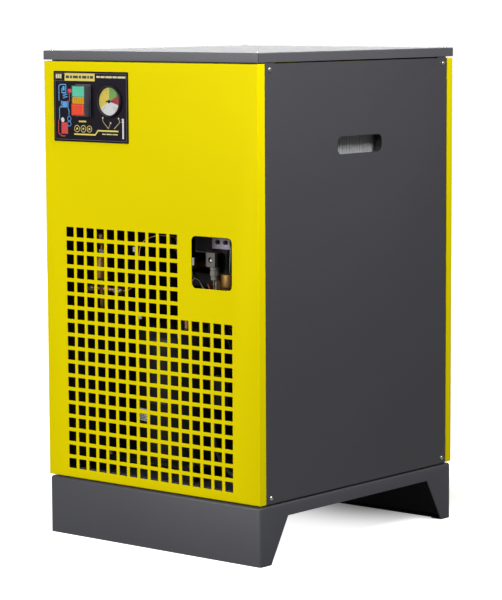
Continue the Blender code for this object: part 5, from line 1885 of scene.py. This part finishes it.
def makeFan():
    bm = bmesh.new()
    for blade in range(fan["blades"]):
        addVane(bm, math.tau * blade / fan["blades"])
    hub = [
        (fan["bore"], -0.0280), (fan["bore"] + 0.004, -0.0280),
        (0.012, -0.0320), (0.028, -0.0338), (0.0325, -0.0325),
        (fan["hub"], -0.0300), (fan["hub"], -0.0050), (0.0325, -0.0032), (fan["bore"], -0.0032),
        (fan["bore"], -0.0280),
    ]
    addTurned(bm, hub, fan["centre"], rear, 64)
    for number in range(5):
        turn = math.tau * (number + 0.5) / 5
        spot = Vector(fan["centre"]) + Vector((math.cos(turn), 0, math.sin(turn))) * 0.020
        addRod(bm, spot + front * 0.0325, spot + front * 0.0339, 0.0026, 16)
    piece = linkMesh("fanWheel", bm, fanAluminium, "fan", 40)
    standFor(piece, "fan_blade")


def makeMotor():
    # finned motor can on two crossed bars
    x, y, z = fan["centre"]
    near, far = fan["barY"]
    half = fan["barHalf"]
    reach = fan["barReach"]
    bm = bmesh.new()
    profile = [(0, 0.0298), (0.022, 0.0300), (0.029, 0.0296), (0.0385, 0.0240)]
    for rib in range(6):
        low = 0.0222 - rib * 0.0032
        profile += [(0.0400, low), (0.0400, low - 0.0014), (0.0385, low - 0.0018), (0.0385, low - 0.0030)]
    profile += [(0.0380, 0.0012), (0.0350, 0.0), (0, 0.0)]
    addTurned(bm, profile, (x, y, z), rear, 64)
    addRod(bm, (x, 0.2555, z), (x, 0.2262, z), 0.0039, 24)
    piece = linkMesh("fanMotorCan", bm, blackPaint, smoothAngle=30)
    standFor(piece, "fan_motor")
    bm = bmesh.new()
    addBlock(bm, (x - reach, near, z - half), (x + reach, far, z + half))
    addBlock(bm, (x - half, near + hair, z - reach), (x + half, far - hair, z + reach))
    for way in (-1, 1):
        addRod(bm, (x + way * 0.196, far - hair, z), (x + way * 0.196, far + 0.0022, z), 0.0045, 6)
        addRod(bm, (x, far - hair, z + way * 0.196), (x, far + 0.0022, z + way * 0.196), 0.0045, 6)
    softEdges(linkMesh("fanMotorBars", bm, blackPaint), 0.0004)


makeFan()
makeMotor()

bypass = {
    "x": -0.181,
    "y": -0.250,
    "crossZ": 0.498,
}


def makeBypassValve():
    x = bypass["x"]
    y = bypass["y"]
    bm = bmesh.new()
    profile = [
        (0, 0.6118), (0.0058, 0.6110), (0.0078, 0.6090), (0.0085, 0.6060), (0.0085, 0.5895), (0.0075, 0.5880),
        (0.0050, 0.5865), (0.0050, 0.5690), (0.0095, 0.5670),
        (0.0110, 0.5655), (0.0155, 0.5425), (0.0155, 0.5205),
        (0.0110, 0.5182), (0.0068, 0.5100), (0.0065, 0.4780), (0.0065, 0.4640), (0.0055, 0.4620), (0, 0.4620),
    ]
    addTurned(bm, profile, (x, y, 0), up, 56)
    standFor(linkMesh("bypassValveBody", bm, castBrass), "hot_gas_valve")
    bm = bmesh.new()
    z = bypass["crossZ"]
    addRod(bm, (x - 0.045, y, z), (x + 0.055, y, z), 0.0048, 24)
    softEdges(linkMesh("bypassCrossPipe", bm, copperTube), 0.0003)
    bm = bmesh.new()
    for near, far in ((-0.040, -0.026), (0.036, 0.050)):
        addRod(bm, (x + near, y, z), (x + far, y, z), 0.0094, 6)
        addRod(bm, (x + near - 0.0015, y, z), (x + far + 0.0015, y, z), 0.0066, 24)
    addRod(bm, (x, y, 0.5700), (x, y, 0.5780), 0.0094, 6)
    softEdges(linkMesh("bypassFlareNuts", bm, zincSteel), 0.0005)


def makeDrier():
    bm = bmesh.new()
    profile = [(0, 0.3600), (0.0047, 0.3600), (0.0050, 0.3590), (0.0050, 0.3380), (0.0080, 0.3340)]
    profile += [(0.0080 + 0.0160 * math.sin(math.radians(a)), 0.3180 + 0.0160 * math.cos(math.radians(a)))
                for a in range(10, 91, 10)]
    profile += [(0.0240, 0.2120)]
    profile += [(0.0080 + 0.0160 * math.cos(math.radians(a)), 0.2120 - 0.0160 * math.sin(math.radians(a)))
                for a in range(10, 91, 10)]
    profile += [(0.0050, 0.1920), (0.0050, 0.1710), (0.0047, 0.1700), (0, 0.1700)]
    addTurned(bm, profile, (0.085, 0.060, 0), up, 48)
    standFor(linkMesh("filterDrierCan", bm, copperTube), "filter_drier")


makeBypassValve()
makeDrier()

circuit = {
    "suction": ((-0.0726, -0.115, 0.4136), (-0.0726, -0.115, 0.515), (0.0124, -0.125, 0.515),
                (0.100, -0.125, 0.515), (0.100, -0.125, 0.5975)),
    "sleeve": ((-0.0726, -0.115, 0.4300), (-0.0726, -0.115, 0.515), (0.0124, -0.125, 0.515),
               (0.100, -0.125, 0.515), (0.100, -0.125, 0.5760)),
    "sleeveRadius": 0.0140,
    "suctionBend": 0.025,
    "suctionRadius": 0.0093,
    "discharge": ((-0.1426, -0.040, 0.4136), (-0.1426, -0.040, 0.528), (-0.1426, 0.1495, 0.528)),
    "dischargeBend": 0.022,
    "dischargeRadius": 0.0063,
}


def makeCircuit():
    suction = pipePiece(
        "suctionLine", circuit["suction"], circuit["suctionBend"], circuit["suctionRadius"], copperTube
    )
    standFor(suction, "suction_pipe")
    discharge = pipePiece(
        "dischargeLine", circuit["discharge"], circuit["dischargeBend"],
        circuit["dischargeRadius"], copperTube,
    )
    standFor(discharge, "discharge_pipe")
    # foam sleeve over the suction line
    pipePiece("suctionSleeve", circuit["sleeve"], circuit["suctionBend"], circuit["sleeveRadius"], blackFoam)
    leadPiece("capillaryLine", circuitLines["capillary"], 0.0014, copperTube)
    # small matte white blocks on the lines: painted glints where the fittings catch the light
    for name, spot, size in circuitLines["paintedGlints"]:
        bm = bmesh.new()
        low = Vector(spot)
        addBlock(bm, low - Vector(size) / 2, low + Vector(size) / 2)
        softEdges(linkMesh(name, bm, whiteCard), 0.0008)


circuitLines = {
    "capillary": (
        (-0.1260, -0.2500, 0.4980), (-0.1150, -0.2500, 0.4990),
        (-0.0950, -0.2480, 0.5150), (-0.0880, -0.2450, 0.5600),
        (-0.0820, -0.2400, 0.5950), (-0.0600, -0.2350, 0.6080),
        (-0.0200, -0.2350, 0.6120), (0.0080, -0.2400, 0.6080),
        (0.0160, -0.2450, 0.5970), (0.0200, -0.2300, 0.5600),
        (0.0280, -0.1900, 0.4800), (0.0600, -0.0400, 0.3900),
        (0.0850, 0.0600, 0.3700), (0.0850, 0.0600, 0.3596),
    ),
    # white blocks that stand for glints on the fittings: painted glints
    "paintedGlints": (
        ("pipeGlint1", (-0.0990, -0.2450, 0.5820), (0.006, 0.004, 0.010)),
        ("pipeGlint2", (-0.0830, -0.2470, 0.4470), (0.008, 0.004, 0.006)),
        ("pipeGlint3", (0.0180, -0.2450, 0.4170), (0.006, 0.004, 0.010)),
        ("pipeGlint4", (0.0186, -0.2430, 0.3300), (0.005, 0.004, 0.008)),
        ("pipeGlint5", (0.0745, -0.2650, 0.5700), (0.005, 0.004, 0.015)),
    ),
}

makeCircuit()
print("refrigeration circuit made")

# heat exchanger, air pipes and rear fittings

exchanger = {
    "low": (0.052, -0.208, 0.598),
    "high": (0.252, 0.148, 0.923),
    "endPlate": 0.006,
    "plates": 64,
    "plateThickness": 0.0040,
    "inset": 0.0012,
}


def makeExchanger():
    # thin brazed plates between two thicker ones, under a raised rim at the open side
    x0, y0, z0 = exchanger["low"]
    x1, y1, z1 = exchanger["high"]
    end = exchanger["endPlate"]
    bm = bmesh.new()
    addBlock(bm, (x0, y0, z0), (x1 - 0.002, y0 + end, z1))
    addBlock(bm, (x0, y1 - end, z0), (x1 - 0.002, y1, z1))
    run = (y1 - y0 - 2 * end) / exchanger["plates"]
    for number in range(exchanger["plates"]):
        y = y0 + end + run * number
        reach = x1 - exchanger["inset"] - 0.0004 * (number % 2)
        addBlock(
            bm, (x0 + 0.001, y + 0.0001, z0 + 0.002), (reach, y + exchanger["plateThickness"], z1 - 0.002)
        )
    softEdges(linkMesh("exchangerPlates", bm, plateSteel), 0.0004, 1)
    standFor(bpy.data.objects["exchangerPlates"], "heat_exchanger_core")
    bm = bmesh.new()
    addBlock(bm, (x0 + 0.002, y0 + 0.004, z0 + 0.004), (x1 - 0.004, y1 - 0.004, z1 - 0.004))
    linkMesh("exchangerBraze", bm, plateSteel)


makeExchanger()
refined("exchangerFoamJacket", "exchanger_jacket", blackFoam, 0.0015, 3)
# the shelf wears a near-black copy of galvanised steel: painted shade
refined("exchangerShelf", "exchanger_stand", standSteelPaintedShade, 0.0004, 1)

airPipe = {
    "x": {"air_inlet_pipe": 0.200, "air_outlet_pipe": 0.110},
    "z": 0.850,
    "start": 0.1483,
    "tip": 0.3330,
    "pipe": 0.022,
    "socket": 0.030,
    "bore": 0.0205,
    "threads": 9,
}


def makeAirPipes():
    # smooth pipe, a chamfered socket and thread rings inside its mouth
    length = airPipe["tip"] - airPipe["start"]
    for name, (nodeName, x) in zip(("inletPipe", "outletPipe"), airPipe["x"].items()):
        profile = [(airPipe["bore"] + 0.0012, length)]
        socket = airPipe["socket"]
        profile += [(socket - 0.0015, length), (socket, length - 0.0015), (socket, length - 0.032)]
        profile += [(socket - 0.0015, length - 0.0338), (airPipe["pipe"] + 0.001, length - 0.0345)]
        profile += [
            (airPipe["pipe"], length - 0.038), (airPipe["pipe"], 0), (0.0186, 0), (0.0186, length - 0.0300)
        ]
        profile += [(airPipe["bore"] + 0.0008, length - 0.0280)]
        pitch = 0.0235 / airPipe["threads"]
        for number in range(airPipe["threads"]):
            low = length - 0.0265 + number * pitch
            profile += [(airPipe["bore"] + 0.0010, low), (airPipe["bore"] + 0.0001, low + pitch * 0.5)]
        profile += [(airPipe["bore"] + 0.0012, length - 0.0015), (airPipe["bore"] + 0.0012, length)]
        base = (x, airPipe["start"], airPipe["z"])
        standFor(turnedPiece(name, profile, base, rear, galvanisedSteel, steps=72), nodeName)


rearFittings = {
    "face": 0.3125,
    "outlet": (0.220, 0.170),
    "gland": (-0.220, 0.170),
    "glandRibs": 12,
}


def makeRearFittings():
    x, z = rearFittings["outlet"]
    base = (x, rearFittings["face"], z)
    bm = bmesh.new()
    profile = [
        (0.0048, 0.0196), (0.0060, 0.0200), (0.0072, 0.0190),
        (0.0064, 0.0170), (0.0072, 0.0155), (0.0064, 0.0135),
        (0.0072, 0.0120), (0.0064, 0.0100), (0.0095, 0.0098),
        (0.0095, 0.0004), (0.0095, -0.0120), (0.0060, -0.0130),
        (0.0060, -0.0270), (0.0054, -0.0275), (0, -0.0275), (0, 0.0050), (0.0048, 0.0050), (0.0048, 0.0196),
    ]
    addTurned(bm, profile, base, rear, 40)
    addRod(bm, (x, base[1] + 0.0004, z), (x, base[1] + 0.0092, z), 0.0150, 6)
    standFor(softEdges(linkMesh("condensateNipple", bm, castBrass), 0.0004, 2), "condensate_outlet")
    x, z = rearFittings["gland"]
    base = Vector((x, rearFittings["face"], z))
    bm = bmesh.new()
    profile = [
        (0.0062, 0.0196), (0.0100, 0.0200), (0.0112, 0.0192),
        (0.0121, 0.0175), (0.0121, 0.0098), (0.0110, 0.0088),
        (0.0110, 0.0004), (0.0094, 0.0004), (0.0094, -0.0120), (0.0062, -0.0120), (0.0062, 0.0196),
    ]
    addTurned(bm, profile, base, rear, 48)
    for number in range(rearFittings["glandRibs"]):
        turn = math.tau * number / rearFittings["glandRibs"]
        spot = base + Vector((math.cos(turn), 0, math.sin(turn))) * 0.0118
        addRod(bm, spot + rear * 0.0100, spot + rear * 0.0172, 0.0007, 8)
    bmesh.ops.create_cone(
        bm, cap_ends=True, segments=6, radius1=0.0150, radius2=0.0150, depth=0.0076,
        matrix=alongAxis(base + rear * 0.0042, rear),
    )
    softEdges(linkMesh("powerGlandNut", bm, blackPlastic), 0.0004, 2)
    standFor(bpy.data.objects["powerGlandNut"], "power_cable_gland")


makeAirPipes()
makeRearFittings()
print("exchanger, pipes and rear fittings made")

# wiring inside, seen through the grille and the rear slots

harness = (
    {
        "name": "motorLead",
        "points": ((-0.030, 0.2680, 0.3700), (-0.030, 0.2730, 0.4300), (-0.060, 0.2730, 0.5300),
                   (-0.120, 0.2700, 0.6000), (-0.200, 0.2600, 0.6200), (-0.235, 0.2200, 0.5600),
                   (-0.235, 0.1000, 0.5300), (-0.230, -0.0500, 0.5200), (-0.150, -0.2300, 0.7000),
                   (-0.150, -0.2400, 0.8500)),
        "radius": 0.0032,
    },
    {
        "name": "supplyLead",
        "points": ((-0.220, 0.3000, 0.1700), (-0.220, 0.2900, 0.1800), (-0.246, 0.2700, 0.2400),
                   (-0.250, 0.2400, 0.3500), (-0.248, 0.1000, 0.4200), (-0.246, -0.1500, 0.5600),
                   (-0.220, -0.2350, 0.7500), (-0.185, -0.2440, 0.8600)),
        "radius": 0.0042,
    },
    {
        "name": "compressorLead",
        "points": ((0.0120, -0.0750, 0.3100), (0.0300, -0.0900, 0.3400), (0.0320, -0.1500, 0.4600),
                   (-0.0300, -0.2300, 0.6200), (-0.1200, -0.2350, 0.7600), (-0.1500, -0.2400, 0.8500)),
        "radius": 0.0036,
    },
)


def makeHarness():
    for lead in harness:
        leadPiece(lead["name"], lead["points"], lead["radius"], rubberBlack)


makeHarness()
print("wiring made")

# finish

finishes = {
    "yellow_paint": yellowPaint,
    "dark_paint": darkPaint,
    "galvanised": galvanisedSteel,
    "zinc": zincSteel,
    "brass": castBrass,
    "copper": copperTube,
    "aluminium": finAluminium,
    "black_paint": blackPaint,
    "black_foam": blackFoam,
    "black_plastic": blackPlastic,
    "grey_plastic": greyPlastic,
    "black_rubber": rubberBlack,
    "label_print": labelFilm,
    "green_plastic": greenPlastic,
    "red_plastic": redPlastic,
    "amber_lens": amberLens,
    "white_card": whiteCard,
    "clear_lens": clearLens,
}

# every node keeps the finish of its slot, also those that a piece stands for
for nodeName in sorted(nodes):
    nodes[nodeName].data.materials.clear()
    nodes[nodeName].data.materials.append(finishes[slotOf[nodeName]])

print("scene finished")
